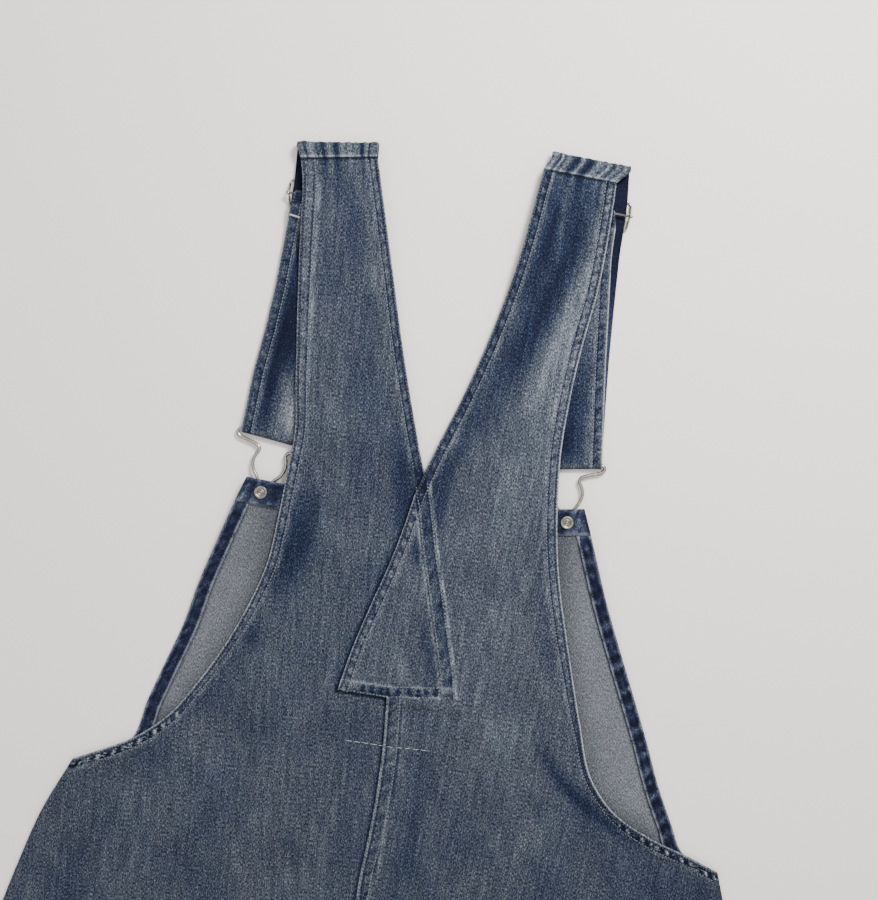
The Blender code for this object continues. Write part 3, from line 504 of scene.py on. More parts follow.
rightCreases = [
    (8, -0.9, -0.02, 20, 252, 26, 208, 26, 147, 22, 86, 12, -30),
    (2.6, 0.35, 0.04, 8, 252, 9.6, 209, 7, 178, 4, 136, 0.5, 84, -1, -60),
    (6, -1.7, -0.05, 129, 231, 149, 205, 166, 191, 181, 181, 199, 172),
    (8, 0.5, 0.02, 60, 262, 72, 240, 100, 215), (9, -0.5, -0.02, 92, 660, 84, 600, 66, 540),
    (6, 0.5, 0.02, 118, 600, 104, 530, 96, 470), (15, -0.9, -0.02, 60, 180, 90, 110, 110, 40),
    (15, 0.9, 0.02, 190, 150, 180, 90, 190, 20), (9, -1.2, -0.03, 10, -120, 90, -160, 160, -178),
    (8, -1.0, -0.03, 16, -140, 80, -205, 125, -232), (9, -1.3, -0.03, 105, -290, 165, -318, 235, -310),
    (7, -1.0, -0.03, 98, -350, 158, -370), (9, -1.2, -0.03, 285, -360, 240, -340),
    (12, -1.0, -0.03, 130, -560, 210, -545), (4, 0.4, 0.03, -8, 330, 0, 290, 2, 272),
    (4, -0.4, -0.03, 14, 345, 18, 300, 20, 274), (3, 0.4, 0.05, 0, 300, 4, 274),
]


def lineLength(line):
    return sum(math.dist(a, b) for a, b in zip(line, line[1:]))


def strokes(x, y, creases=(), wear=()):
    # the sum of soft strokes along lines, each fading out at its ends
    height, tone = np.zeros(x.shape), np.zeros(x.shape)
    for width, rise, shade, *points in [*creases, *((row[0], 0, *row[1:]) for row in wear)]:
        line = list(zip(points[::2], points[1::2]))
        away, run = alongLine(x, y, line)
        taper = 0.45 + 0.55 * np.sin(math.pi * np.clip(run / lineLength(line), 0, 1))
        shape = hump(np.abs(away), width) * taper
        height, tone = height + rise * shape, tone + shade * shape
    return height, tone


def hemAlong(x, y, line, look, seed, *course):
    away, run = alongLine(x, y, line)
    return hemProfile(np.abs(away), run, hemLooks[look], seed, *course)


def bandAlong(x, y, line, look, seed, *course):
    away, run = alongLine(x, y, line)
    keep = (run > 0.01) & (run < lineLength(line) - 0.01)
    return tuple(np.where(keep, part, 0) for part in bandProfile(away, run, bandLooks[look], seed, *course))


def panelEdges(panel):
    rows = np.array(panel["rows"], float)
    side, centre = rows[:, :2], rows[:, 2:].copy()
    centre[crotchRow:crossingRow + 1, 0] += panel["seamOffset"]
    counts = []
    for i in range(len(rows) - 1):
        reach = max(math.dist(side[i], side[i + 1]), math.dist(centre[i], centre[i + 1]))
        step = fineness["fine"] if side[i + 1][1] > fineness["fineAbove"] else fineness["coarse"]
        counts.append(math.ceil(reach / (step if i < len(rows) - 2 else fineness["shoulder"])))
    corners = (0, hipRow), (0, crotchRow, crossingRow)
    return (*(smoothEdge(edge, own, counts) for edge, own in zip((side, centre), corners)), counts)


def panelGrids(panel):
    # the panel's main grid, and the one for its lap past the centre seam
    side, centre, counts = panelEdges(panel)
    main = acrossRows(side, centre, denim["hemStops"], panel["middle"])
    start = sum(counts[:panel["lapFrom"]])
    lapPoints = np.array(panel["lap"], float)
    lapPoints[-1] = centre[sum(counts[:crossingRow])]
    free = smoothEdge(lapPoints, (), counts[panel["lapFrom"]:crossingRow])
    stops = np.array(denim["hemStops"])
    lap = []
    for a, b in zip(centre[start:start + len(free)], free):
        wide = max(math.dist(a, b), 1e-6)
        near = np.minimum(stops, np.linspace(0, 0.8, len(stops)) * wide)
        far = near[-1] + (wide - near[-1]) * np.linspace(0, 1, 13)[1:]
        lap.append([b + (a - b) / wide * d for d in np.append(near, far)])
    return side, centre, free, counts, main, np.array(lap)


sideLeft, centreLeft, freeLeft, countsLeft, mainLeft, lapLeft = panelGrids(backLeft)
sideRight, centreRight, freeRight, countsRight, mainRight, lapRight = panelGrids(backRight)
armholeLeft = sideLeft[sum(countsLeft[:hipRow]):]
armholeRight = sideRight[sum(countsRight[:hipRow]):]
strapInnerLeft = np.vstack([freeLeft[-14:-1], centreLeft[sum(countsLeft[:crossingRow]):]])
strapInnerRight = np.vstack([freeRight[:-1], centreRight[sum(countsRight[:crossingRow]):]])
triangleBase = [(-50.3, 260.6), (-25.3, 259.4), (-8.5, 258.6), (17.5, 260.8), (49.5, 264.4)]
triangleRightLine = [(49.5, 264.4), (46.8, 281.4), (40.7, 305.5), (35.2, 326.7), (27.6, 355.6), (21.4, 377.7),
                     (16.8, 395.1), (12.9, 413.7), (10.3, 424.6), (6.9, 436.1), (4.3, 446.4)]
seamCourse = [(0, 1.0), (60, 1.07), (110, 1.0), (160, 0.8), (400, 0.75)]  # run, band width
seamEnds = [sum(countsRight[:row]) for row in (crotchRow, backRight["lapFrom"])]
centreSeam = centreRight[seamEnds[0]:seamEnds[1] + 1][::-1]
legHemLeft = [(-322, -740), (-78, -740)]
legHemRight = [(78, -740), (322, -740)]


def clothUnevenness(x, y):
    height = 0.45 * mottle(x, y, 120, 1.3) + 0.22 * mottle(x, y, 47, 4.2) + 0.07 * mottle(x, y, 17, 2.6)
    streaks = mottle(x, y * 0.3, 15, 0.7) + mottle(x, y * 0.25, 6.5, 3.3)
    return height, 0.03 * mottle(x, y, 90, 2.2) + 0.035 * streaks


# Dark and pale bars in the cloth gathered at each shoulder: share across, half width of the bar, tone
shoulderBars = {
    "left": [
        (-0.9, 0.06, 0.04), (-0.81, 0.025, -0.26), (-0.66, 0.08, 0.08), (-0.53, 0.02, -0.22),
        (-0.37, 0.06, -0.34), (-0.2, 0.05, 0.06), (-0.05, 0.06, -0.36), (0.12, 0.06, 0.08), (0.3, 0.07, 0.12),
        (0.47, 0.05, 0.02), (0.6, 0.04, -0.34), (0.7, 0.035, 0.06), (0.77, 0.02, -0.34), (0.9, 0.05, 0.03),
    ],
    "right": [
        (-0.9, 0.06, 0.2), (-0.79, 0.02, -0.22), (-0.73, 0.015, 0.32), (-0.66, 0.03, -0.22),
        (-0.55, 0.05, 0.08), (-0.38, 0.1, -0.32), (-0.2, 0.022, 0.3), (-0.03, 0.11, -0.34), (0.2, 0.06, 0.14),
        (0.34, 0.04, -0.08), (0.44, 0.04, 0.22), (0.56, 0.04, -0.16), (0.66, 0.02, 0.2), (0.75, 0.03, -0.24),
        (0.87, 0.05, 0.16),
    ],
}


def barTones(share, side):
    return sum(tone * hump(share - place, wide) for place, wide, tone in shoulderBars[side])


def strapEnd(x, y, end, side):
    # cloth drawn in along the seam at the shoulder, with short gathers running down from it; the dark line
    # right along the seam is painted shadow under the strap's fold
    away, run = alongLine(x, y, end)
    near = np.abs(away)
    gathers = ripple(run / 8.5, 1.1)
    fade = np.exp(-near / 13)
    tone = (0.07 * gathers + 0.6 * barTones(2 * run / math.dist(*end) - 1, side)) * fade
    return 0.3 * gathers * fade - 0.5 * hump(near, 1.0), tone - 0.36 * hump(near - 0.4, 1.1)


def addUp(*parts):
    return sum(part[0] for part in parts), sum(part[1] for part in parts)


def leftBackLook(x, y):
    # painted shadow beside the edges of the right back, which lies over this one; the whole of this back is
    # also a little darker, as painted shade on the side away from the light
    seamX = np.interp(y, centreSeam[::-1, 1], centreSeam[::-1, 0])
    shade = -0.3 * hump(x - seamX, 1.9) * ease(266, 258, y) - 0.03
    shade = shade - 0.34 * hump(alongLine(x, y, strapInnerRight)[0], 2.2) * ease(458, 448, y)
    shade = shade - 0.3 * hump(alongLine(x, y, triangleBase[:3])[0], 2.2)
    return addUp(
        hemAlong(x, y, armholeLeft, "armhole", 0.4, courses["armholeLeft"]),
        hemAlong(x, y, strapInnerLeft, "inner", 1.9, courses["innerLeft"]),
        hemAlong(x, y, legHemLeft, "legHem", 2.7),
        strapEnd(x, y, [backLeft["rows"][-1][:2], backLeft["rows"][-1][2:]], "left"),
        strokes(x, y, leftCreases, leftWear), clothUnevenness(x, y), (0.0, shade))


def rightBackLook(x, y):
    shade = -0.05 * ease(120, 230, x) * ease(260, 180, y) - 0.03 * ease(240, 160, y)
    return addUp(
        hemAlong(x, y, armholeRight, "armhole", 3.4, courses["armholeRight"]),
        hemAlong(x, y, strapInnerRight, "inner", 5.0, courses["innerRight"]),
        bandAlong(x, y, triangleBase, "base", 0.9),
        bandAlong(x, y, triangleRightLine, "under", 2.2),
        bandAlong(x, y, centreSeam, "felled", 6.1, seamCourse),
        hemAlong(x, y, legHemRight, "legHem", 4.4),
        strapEnd(x, y, [backRight["rows"][-1][2:], backRight["rows"][-1][:2]], "right"),
        strokes(x, y, rightCreases, rightWear), clothUnevenness(x + 400, y), (0.0, shade))


# Materials


def makeTwill():
    # fleck: salt and pepper of worn warp threads; streak: slubs along the warp; rib: the twill's diagonal
    parts = ("Fleck", "Streak", "Cloud", "Rib", "Height")
    group = bpy.data.node_groups.new("twillCloth", "ShaderNodeTree")
    group.interface.new_socket("Vector", in_out="INPUT", socket_type="NodeSocketVector")
    for title in parts:
        group.interface.new_socket(title, in_out="OUTPUT", socket_type="NodeSocketFloat")
    vector = group.nodes.new("NodeGroupInput").outputs["Vector"]
    out = group.nodes.new("NodeGroupOutput")
    grain = noiseNode(group, stretched(group, vector, (1, 0.5, 1)), 980, 3.0, 0.75)
    fleck = mathNode(group, "MULTIPLY_ADD", mathNode(group, "SUBTRACT", grain, 0.5), 3.4, 0.5)
    streak = noiseNode(group, stretched(group, vector, (1, 0.07, 1)), 330)
    cloud = noiseNode(group, stretched(group, vector, (1, 0.6, 1)), 16, 3.0)
    sockets = {"Scale": 300, "Distortion": 1.2, "Detail": 1.5, "Detail Scale": 1.6}
    sockets["Vector"] = stretched(group, vector, (1, 1, 1), 52)
    rib = addNode(group, "TexWave", sockets).outputs["Fac"]
    height = mathNode(group, "MULTIPLY_ADD", rib, 0.45, mathNode(group, "MULTIPLY", fleck, 0.55))
    for title, value in zip(parts, (fleck, streak, cloud, rib, height)):
        feed(group, out.inputs[title], value)
    return group


twill = makeTwill()
denimTones = [
    (0.0, (0.002, 0.0028, 0.008)), (0.2, (0.0045, 0.006, 0.0125)), (0.35, (0.0095, 0.0125, 0.0215)),
    (0.45, (0.0205, 0.0258, 0.0385)), (0.55, (0.0395, 0.0475, 0.065)), (0.62, (0.054, 0.064, 0.083)),
    (0.74, (0.092, 0.106, 0.128)), (0.85, (0.158, 0.17, 0.196)), (1.0, (0.29, 0.305, 0.33)),
]
insideTones = [
    (0.0, (0.025, 0.028, 0.038)), (0.3, (0.058, 0.0625, 0.072)), (0.55, (0.121, 0.128, 0.145)),
    (0.8, (0.221, 0.228, 0.258)), (1.0, (0.33, 0.34, 0.35)),
]
turnedTones = [
    (0.0, (0.0024, 0.003, 0.009)), (0.3, (0.0058, 0.0074, 0.0215)), (0.5, (0.0135, 0.0178, 0.041)),
    (0.7, (0.034, 0.0415, 0.07)), (0.85, (0.07, 0.082, 0.115)), (1.0, (0.14, 0.155, 0.19)),
]


def clothMaterial(name, tones, middle, fleck, streak, cloud, rib, indigoShare):
    finish, tree = newFinish(name)
    place = addNode(tree, "Attribute", attribute_name="clothPlace").outputs["Vector"]
    tone = addNode(tree, "Attribute", attribute_name="tone").outputs["Fac"]
    weave = addNode(tree, "Group", {"Vector": place}, node_tree=twill).outputs
    value = mathNode(tree, "ADD", tone, middle)
    for title, amount in (("Fleck", fleck), ("Streak", streak), ("Cloud", cloud), ("Rib", rib)):
        value = mathNode(tree, "MULTIPLY_ADD", mathNode(tree, "SUBTRACT", weave[title], 0.5), amount, value)
    # unworn patches keep more of the indigo, and the wash drifts between a greener and a redder blue
    kept = mathNode(tree, "MULTIPLY_ADD", tone, -indigoShare, -0.05)
    indigo = mixNode(tree, rampNode(tree, value, tones), (0.84, 0.99, 1.42, 1), kept, "MULTIPLY")
    drift = noiseNode(tree, stretched(tree, place, (1, 0.5, 1)), 30)
    hue = mixNode(tree, (0.93, 1.03, 1.0, 1), (1.07, 0.98, 1.02, 1), drift)
    return dress(finish, {
        "Base Color": mixNode(tree, indigo, hue, 1.0, "MULTIPLY"),
        "Roughness": mathNode(tree, "MULTIPLY_ADD", weave["Fleck"], -0.08, 0.94),
        "Normal": bumpNode(tree, weave["Height"], 0.55, 0.00035),
        "Specular IOR Level": 0.12, "Sheen Weight": 0.02, "Sheen Roughness": 0.6})


def threadMaterial(name, dark, light):
    finish, tree = newFinish(name)
    uneven = noiseNode(tree, addNode(tree, "TexCoord").outputs["Object"], 240)
    return dress(finish, {"Base Color": mixNode(tree, (*dark, 1), (*light, 1), uneven), "Roughness": 0.8})


def metalMaterial(name, dark, light, outline, roughness):
    finish, tree = newFinish(name)
    place = addNode(tree, "TexCoord").outputs["Object"]
    tarnish = noiseNode(tree, place, 420, 4.0, 0.65)
    scratches = noiseNode(tree, stretched(tree, place, (1, 0.2, 1)), 2600)
    paler = mathNode(tree, "MULTIPLY_ADD", tarnish, 2.0, -0.5)
    return dress(finish, {
        "Base Color": mixNode(tree, (*dark, 1), (*light, 1), paler),
        "Roughness": mathNode(tree, "MULTIPLY_ADD", tarnish, 0.25, roughness),
        "Normal": bumpNode(tree, scratches, 0.15, 0.0001),
        "Metallic": 1.0, "Specular Tint": (outline, outline, outline, 1)})


washedDenim = clothMaterial("washedDenim", denimTones, 0.55, 0.54, 0.34, 0.14, 0.06, 4.0)
denimInside = clothMaterial("denimInside", insideTones, 0.48, 0.55, 0.16, 0.16, 0.5, 0.0)
turnedDenim = clothMaterial("turnedDenim", turnedTones, 0.38, 0.5, 0.2, 0.3, 0.05, 0.0)
paleThread = threadMaterial("paleThread", (0.06, 0.07, 0.09), (0.29, 0.305, 0.33))
darkAndShadedThread = threadMaterial("darkAndShadedThread", (0.012, 0.016, 0.028), (0.11, 0.125, 0.15))
whiteThread = threadMaterial("whiteThread", (0.3, 0.31, 0.32), (0.6, 0.6, 0.6))
agedSteel = metalMaterial("agedSteel", (0.24, 0.228, 0.2), (0.5, 0.485, 0.45), 0.02, 0.1)
dullSteel = metalMaterial("dullSteel", (0.1, 0.092, 0.075), (0.35, 0.33, 0.28), 0.1, 0.26)
print("materials made")

# Cloth pieces


def finishPiece(bm, name, finishes, replaced=()):
    mesh = bpy.data.meshes.new(name)
    bm.to_mesh(mesh)
    bm.free()
    for finish in finishes:
        mesh.materials.append(finish)
    mesh.shade_smooth()
    piece = addObject(name, mesh)
    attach(piece, "root")
    if replaced:
        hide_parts(*replaced)
    return piece


def vertLayer(bm, kind, title):
    layers = getattr(bm.verts.layers, kind)
    return layers.get(title) or layers.new(title)


def layGrid(bm, top, under, tone, toneInside, place):
    # one open sheet; each vertex remembers its wall, its tone on both sides and its place in the cloth
    wallLayer, placeLayer = (vertLayer(bm, "float_vector", title) for title in ("wall", "clothPlace"))
    toneLayer, insideLayer = (vertLayer(bm, "float", title) for title in ("tone", "toneInside"))
    rows, columns = top.shape[0] - 1, top.shape[1] - 1
    for vert in bmesh.ops.create_grid(bm, x_segments=columns, y_segments=rows, size=1)["verts"]:
        i, j = round((vert.co.y + 1) / 2 * rows), round((vert.co.x + 1) / 2 * columns)
        vert.co = Vector(top[i, j]) * mm
        vert[wallLayer] = Vector(under[i, j] - top[i, j]) * mm
        vert[placeLayer] = Vector((*place[i, j], 0)) * mm
        vert[toneLayer], vert[insideLayer] = tone[i, j], toneInside[i, j]


def closeSheet(bm, merge=0.02):
    # gives the sheet its wall; the new side takes the second material
    bmesh.ops.remove_doubles(bm, verts=bm.verts[:], dist=merge * mm)
    wallLayer = bm.verts.layers.float_vector["wall"]
    toneLayer, insideLayer = bm.verts.layers.float["tone"], bm.verts.layers.float["toneInside"]
    for item in bmesh.ops.extrude_face_region(bm, geom=bm.faces[:], use_keep_orig=True)["geom"]:
        if isinstance(item, bmesh.types.BMVert):
            item.co += item[wallLayer]
            item[toneLayer] = item[insideLayer]
        elif isinstance(item, bmesh.types.BMFace):
            item.material_index = 1
    bmesh.ops.recalc_face_normals(bm, faces=bm.faces[:])
    bm.verts.layers.float_vector.remove(wallLayer)


def flatSheet(name, grids, underAt, look, finishes, replaced, clothTurn=0.0):
    bm = bmesh.new()
    cosTurn, sinTurn = math.cos(math.radians(clothTurn)), math.sin(math.radians(clothTurn))
    for x, y in ((points[..., 0], points[..., 1]) for points in grids):
        low = underAt(x, y)
        height, tone = look(x, y)
        high = low + np.maximum(denim["wall"] + height, denim["leastWall"])
        place = np.stack([x * cosTurn - y * sinTurn, x * sinTurn + y * cosTurn], -1)
        layGrid(bm, np.stack([x, y, high], -1), np.stack([x, y, low], -1), tone, tone * 0.5, place)
    closeSheet(bm)
    return finishPiece(bm, name, finishes, replaced)


denimSides = washedDenim, denimInside
backLeftPiece = flatSheet("backLeft", [mainLeft, lapLeft[::-1]], lieHeight, leftBackLook,
                          denimSides, ("back_left",), -3)
backRightPiece = flatSheet("backRight", [mainRight, lapRight[::-1]], lappedHeight, rightBackLook,
                           denimSides, ("back_right",), 4)
print("backs made")

# Fronts of the legs

legFront = {"topY": 122.4, "step": 14, "middle": 26}


def frontLeg(side, panel, hemLine, creases, sign):
    rows = np.array(panel["rows"][:hipRow], float)
    edge, centre = rows[:, :2], rows[:, 2:].copy()
    centre[crotchRow:, 0] = denim["gap"] / 2 * sign
    centre[:, 1] = np.minimum(centre[:, 1], legFront["topY"])
    counts = [math.ceil(math.dist(a, b) / legFront["step"]) for a, b in zip(edge, edge[1:])]
    left, right = smoothEdge(edge, (0,), counts), smoothEdge(centre, (0, crotchRow), counts)
    grid = acrossRows(left, right, denim["hemStops"][::3], legFront["middle"])

    def look(x, y):
        tone = strokes(x, y, creases)[1] + hemAlong(x, y, hemLine, "legHem", 1.0)[1] * 0.6
        return -np.clip(0.15 * np.abs(mottle(x, y, 60, 2.0)), 0, 0.3), tone

    return flatSheet("frontLeg" + side.capitalize(), [grid], lambda x, y: 0 * x, look,
                     denimSides[::-1], ("front_leg_" + side,))


frontLegLeft = frontLeg("left", backLeft, legHemLeft, leftCreases, -1)
frontLegRight = frontLeg("right", backRight, legHemRight, rightCreases, 1)
print("fronts of the legs made")

# Bib

# Each row: left x, left y, right x, right y, from the waist seam to the top edge
bibRows = [
    (-290, 125.3, 300, 120.3), (-279, 149, 294.5, 136), (-270, 168, 291, 143), (-248, 176, 272, 148),
    (-228, 187, 259, 158), (-219, 199, 249, 178), (-211, 230, 234, 209), (-199, 267, 218, 249),
    (-188, 300, 203.5, 283), (-179, 338, 187, 321), (-168, 374, 170, 361), (-156.6, 410.2, 148.9, 417.6),
    (-149, 432, 140.5, 439.5),
]
bibLook = {"stops": (0, 0.8, 1.6, 2.9, 4.2, 6, 9, 10.2, 11.1, 12, 12.8, 13.6, 14.6), "middle": 66, "sag": 8.0,
           "sideRow": 10.4, "sideHem": 12.0, "sideHemColumns": 10, "topRow": 22.0, "topHem": 23.7}
bibTable = np.array(bibRows, float)
bibCounts = [math.ceil(math.dist(bibTable[i, :2], bibTable[i + 1, :2]) / 4) for i in range(12)]
bibLeft, bibRight = (smoothEdge(bibTable[:, k:k + 2], (2,), bibCounts) for k in (0, 2))
bibGrid = acrossRows(bibLeft, bibRight, bibLook["stops"], bibLook["middle"])
sideStart, topStart = sum(bibCounts[:3]), sum(bibCounts[:11])
for row in bibGrid[topStart:]:  # the top hem hangs between its two buttons
    share = (row[:, 0] - row[0, 0]) / (row[-1, 0] - row[0, 0])
    row[:, 1] -= bibLook["sag"] * 4 * share * (1 - share)
# Worn patches on the bib's hems: half width, tone, then x and y of points along it
bibWear = [
    (7, 0.42, -150, 421, -152, 411), (4, 0.3, -143, 411, -138, 409), (4, 0.26, -126, 411, -122, 412),
    (4, 0.4, 136, 431, 139, 422), (4, 0.36, 137, 419, 130, 417), (3, 0.3, 131, 433, 135, 434),
    (3, 0.2, -142, 426, -132, 424), (1.6, -0.16, -148, 426, -155, 409), (1.6, -0.16, 143, 434, 148, 417),
]


def bibInsideLook(x, y):
    # darker towards the top, and painted shade towards the straps; painted shadow along each armhole edge,
    # and a thin painted shadow just outside each side hem's edge
    tone = 0.05 * mottle(x, y, 60, 1.2) + 0.05 * mottle(x, y, 12, 2.4) - 0.05 * ease(330, 410, y)
    tone = tone - 0.1 * hump(np.abs(x) - 118, 22) * ease(160, 260, y)
    for opening in (armholeLeft, armholeRight):
        tone = tone - 0.14 * hump(alongLine(x, y, opening)[0], 11)
    for fold in (bibLeft, bibRight):
        away = np.abs(alongLine(x, y, fold[sideStart:topStart])[0])
        tone = tone - 0.32 * hump(away - 12.9, 0.7) * ease(412, 404, y)
    return np.minimum(0.1 * mottle(x, y, 70, 0.6), 0.05), tone


def bibHemLook(line, seed, stitched, width, bold):
    def shape(x, y):
        away, run = alongLine(x, y, line)
        inward = np.abs(away)
        wave = ripple(run / 11.6 + 0.02 * inward, seed)
        tone = bold * bars(wave) * ease(0.5, 3, inward) + 0.28 * mottle(x, y, 8, seed) + 0.03
        tone += 0.5 * hump(inward - 0.6, 1.3) - 0.16 * hump(inward - 3.1, 1.2)
        tone += 0.75 * hump(inward - width + 0.5, 1.0) - 0.24 * hump(inward - stitched + 0.9, 0.6)
        height = 0.2 * wave * ease(1, 4, inward) * ease(width, width - 3, inward)
        height -= sewn["dent"] * hump(inward - stitched, sewn["dentHalf"])
        height -= 0.5 * np.clip(1 - inward / 1.4, 0, 1) ** 2
        return np.minimum(height, 0.25), tone + strokes(x, y, wear=bibWear)[1]
    return shape


def overBib(x, y):
    return buttonLift(x, y) + denim["wall"] + denim["gap"]


hemSides = turnedDenim, denimInside
bibPiece = flatSheet("bibPanel", [bibGrid], buttonLift, bibInsideLook, denimSides[::-1],
                     ("bib",), 8)
look = bibHemLook(bibGrid[-1, ::4], 0.7, bibLook["topRow"], bibLook["topHem"], 0.2)
topHemPiece = flatSheet("bibTopHem", [bibGrid[topStart:]], overBib, look, hemSides,
                        ("bib_top_hem",))
hemEnd = bibLook["sideHemColumns"]
bibSides = (("left", bibLeft, slice(hemEnd), 0.15), ("right", bibRight, slice(-hemEnd, None), 0.36))
for side, edge, own, bold in bibSides:
    strip = bibGrid[sideStart:topStart + 1, own].copy()
    lastStep = strip[-2] - strip[-1]
    strip[-1] += lastStep / np.linalg.norm(lastStep, axis=1)[:, None] * denim["gap"]
    look = bibHemLook(edge[sideStart:], 1.4, bibLook["sideRow"], bibLook["sideHem"], bold)
    flatSheet("bibSideHem" + side.capitalize(), [strip], overBib, look, hemSides,
                                    ("bib_side_hem_" + side,))
print("bib made")

# Front halves of the straps

wire = {"hook": 1.4, "neckHeight": 4.9, "hookBarHeight": 3.0, "hookBarV": 48.2,
        "slide": 0.9, "slideHalf": (37.2, 13.0), "slideCorner": 4.0, "barHeight": 7.1, "knob": 1.7}
# Each row: y, middle of the under layer, middle of the end that comes back up, half width, tilt
strapRows = {
    "left": [
        (740, -107, -107, 35.0, 6.5), (690, -105, -104.5, 35.0, 5.0), (655, -107, -106.5, 34.7, 3.5),
        (620, -110, -110, 34.0, 1.5), (585, -112.5, -112.5, 33.2, -0.5), (550, -118, -118, 32.4, -3.0),
        (515, -124, -124, 31.6, -6.0), (466, -128.6, -128.6, 30.6, -8.3),
    ],
    "right": [
        (737, 110.5, 103.0, 34.0, -4.0), (700, 111.3, 103.2, 35.0, -4.2), (675, 111.0, 103.6, 34.2, -3.5),
        (655, 110.5, 103.6, 34.5, -2.5), (620, 111.5, 106.5, 34.0, -1.0), (585, 113.0, 109.5, 33.3, 1.0),
        (550, 114.8, 112.5, 32.6, 3.0), (515, 117.5, 116.5, 31.9, 5.0), (472, 120.8, 120.8, 31.0, 7.6),
    ],
}
strapEnds = {"left": (-105.1, 32.8), "right": (106.0, 29.5)}  # middle and half width round the slide's bar
shoulders = {  # seam x, seam y, seam tilt, half width at the seam, y of the fold
    "left": (-103.8, 711.6, 7.8, 32.7, 724.9), "right": (102.2, 720.9, -4.1, 31.9, 736.8),
}
strap = {"middle": 0.6, "seam": 10.3, "tail": 3.7, "step": 2.6, "topStep": 1.1, "foldedEnd": 26.0,
         "rows": (1.7, 8.8), "hem": 10.0, "relief": 0.45}


def arcPoints(y, z, radius, start, end, steps):
    angles = np.radians(np.linspace(start, end, steps + 1))
    return [(y + radius * math.cos(a), z + radius * math.sin(a)) for a in angles]


def strapPath(side):
    # the middle of the strap's wall as y and z, with the name of each stretch
    _, seamY, _, _, foldY = shoulders[side]
    slideY = slidePlaces[side][1]
    buttonY, tilt = buttonPlaces[side][1:]
    low, high, tail = strap["middle"], strap["seam"], strap["tail"]
    fold = (high - low - denim["gap"]) / 2
    barY = buttonY + wire["hookBarV"] * math.cos(math.radians(tilt))
    barZ, clear = wire["barHeight"], denim["gap"] + low
    barTurn, slideTurn, over = wire["hook"] + clear, wire["slide"] + clear, 2 * wire["slide"] + clear
    half = wire["slideHalf"][1] - 1
    top = [(seamY, high)] + arcPoints(foldY - fold, high - fold, fold, 90, -90, 6)
    under = [(slideY + half, over), (slideY, over - 0.6), (slideY - half, over)]
    under.append((slideY - 2.4 * half, low + 0.2))
    under += [(y, low) for y in np.linspace(slideY - 3.2 * half, barY + 6, 5)]
    bar = arcPoints(barY, wire["hookBarHeight"], barTurn, -90, -270, 4)
    back = [(barY + 12, tail + 0.8), (barY + 30, tail)]
    back += [(y, tail) for y in np.linspace(barY + 50, slideY - 3.4 * half, 4)]
    back += [(slideY - 2.2 * half, tail + 1.7), (slideY - half, barZ + slideTurn)]
    end = arcPoints(slideY, barZ, slideTurn, 90, -90, 4)
    end += [(slideY - half, barZ - slideTurn), (slideY - strap["foldedEnd"], tail - 0.5)]
    stretches = ("top", top), ("under", under), ("bar", bar), ("tail", back), ("end", end)
    return [(y, z, layer) for layer, points in stretches for y, z in points]


def strapAcross(side, y, layer):
    rows = np.array(strapRows[side][::-1], float)
    x, half, tilt = (np.interp(y, rows[:, 0], rows[:, k]) for k in (2 if layer == "tail" else 1, 3, 4))
    if layer == "top":
        seamX, seamY, seamTilt, seamHalf, foldY = shoulders[side]
        share = ease(foldY - 4, seamY, y)
        x, half, tilt = (a + (b - a) * share for a, b in ((x, seamX), (half, seamHalf), (tilt, seamTilt)))
    if layer == "bar":
        x, tilt = rows[0, 1], buttonPlaces[side][2]
    if layer == "end":
        slideX, _, tilt = slidePlaces[side]
        x, half = strapEnds[side]
        y = y + (x - slideX) * math.tan(math.radians(tilt))
    turn = math.radians(tilt)
    return np.array([x, y, 0.0]), np.array([math.cos(turn), math.sin(turn), 0.0]) * half


def strapRings(side):
    # y, height, stretch, middle and half width of the strap at close steps along its path
    path = strapPath(side)
    rings = []
    for (y0, z0, layer0), (y1, z1, layer1) in zip(path, path[1:]):
        starts, ends = strapAcross(side, y0, layer0), strapAcross(side, y1, layer1)
        step = strap["topStep"] if layer1 == "top" else strap["step"]
        count = max(1, math.ceil(math.hypot(y1 - y0, z1 - z0) / step))
        for k in range(count):
            t = k / count
            middle, half = (a + (b - a) * t for a, b in zip(starts, ends))
            rings.append((y0 + (y1 - y0) * t, z0 + (z1 - z0) * t, layer1 if k else layer0, middle, half))
    return rings + [(*path[-1], *strapAcross(side, path[-1][0], path[-1][2]))]


edgeShares = [0.7, 0.73, 0.76, 0.79, 0.82, 0.85, 0.89, 0.93, 0.96, 0.985, 1]
strapShares = np.concatenate([-np.array(edgeShares[::-1]), np.linspace(-0.67, 0.67, 37), edgeShares])
# Wear on the front straps where they show: half width, tone, then x and y of points along it
strapWear = {
    "left": [
        (7, -0.38, -127, 640, -129, 600, -134, 550, -139, 505, -144, 474), (8, -0.3, -124, 580, -124, 530),
        (7, 0.28, -121, 506, -117, 470),
    ],
    "right": [
        (8, -0.08, 126, 600, 124, 530, 122, 478), (3, -0.08, 130, 560, 130, 480),
        (14, -0.3, 112, 512, 116, 476), (10, -0.12, 120, 560, 118, 500), (5, 0.04, 133, 640, 136, 590),
    ],
}
# Tone of the strap's inside along its run; the dark stretch near its start is painted shade on the inside
# where it lies in shadow
insideRunWithShade = {
    "left": [(0, -0.22), (60, -0.22), (140, -0.1), (330, 0.0)],
    "right": [(0, -0.2), (110, -0.16), (170, 0.3), (330, 0.42)],
}
strapSurface = {}


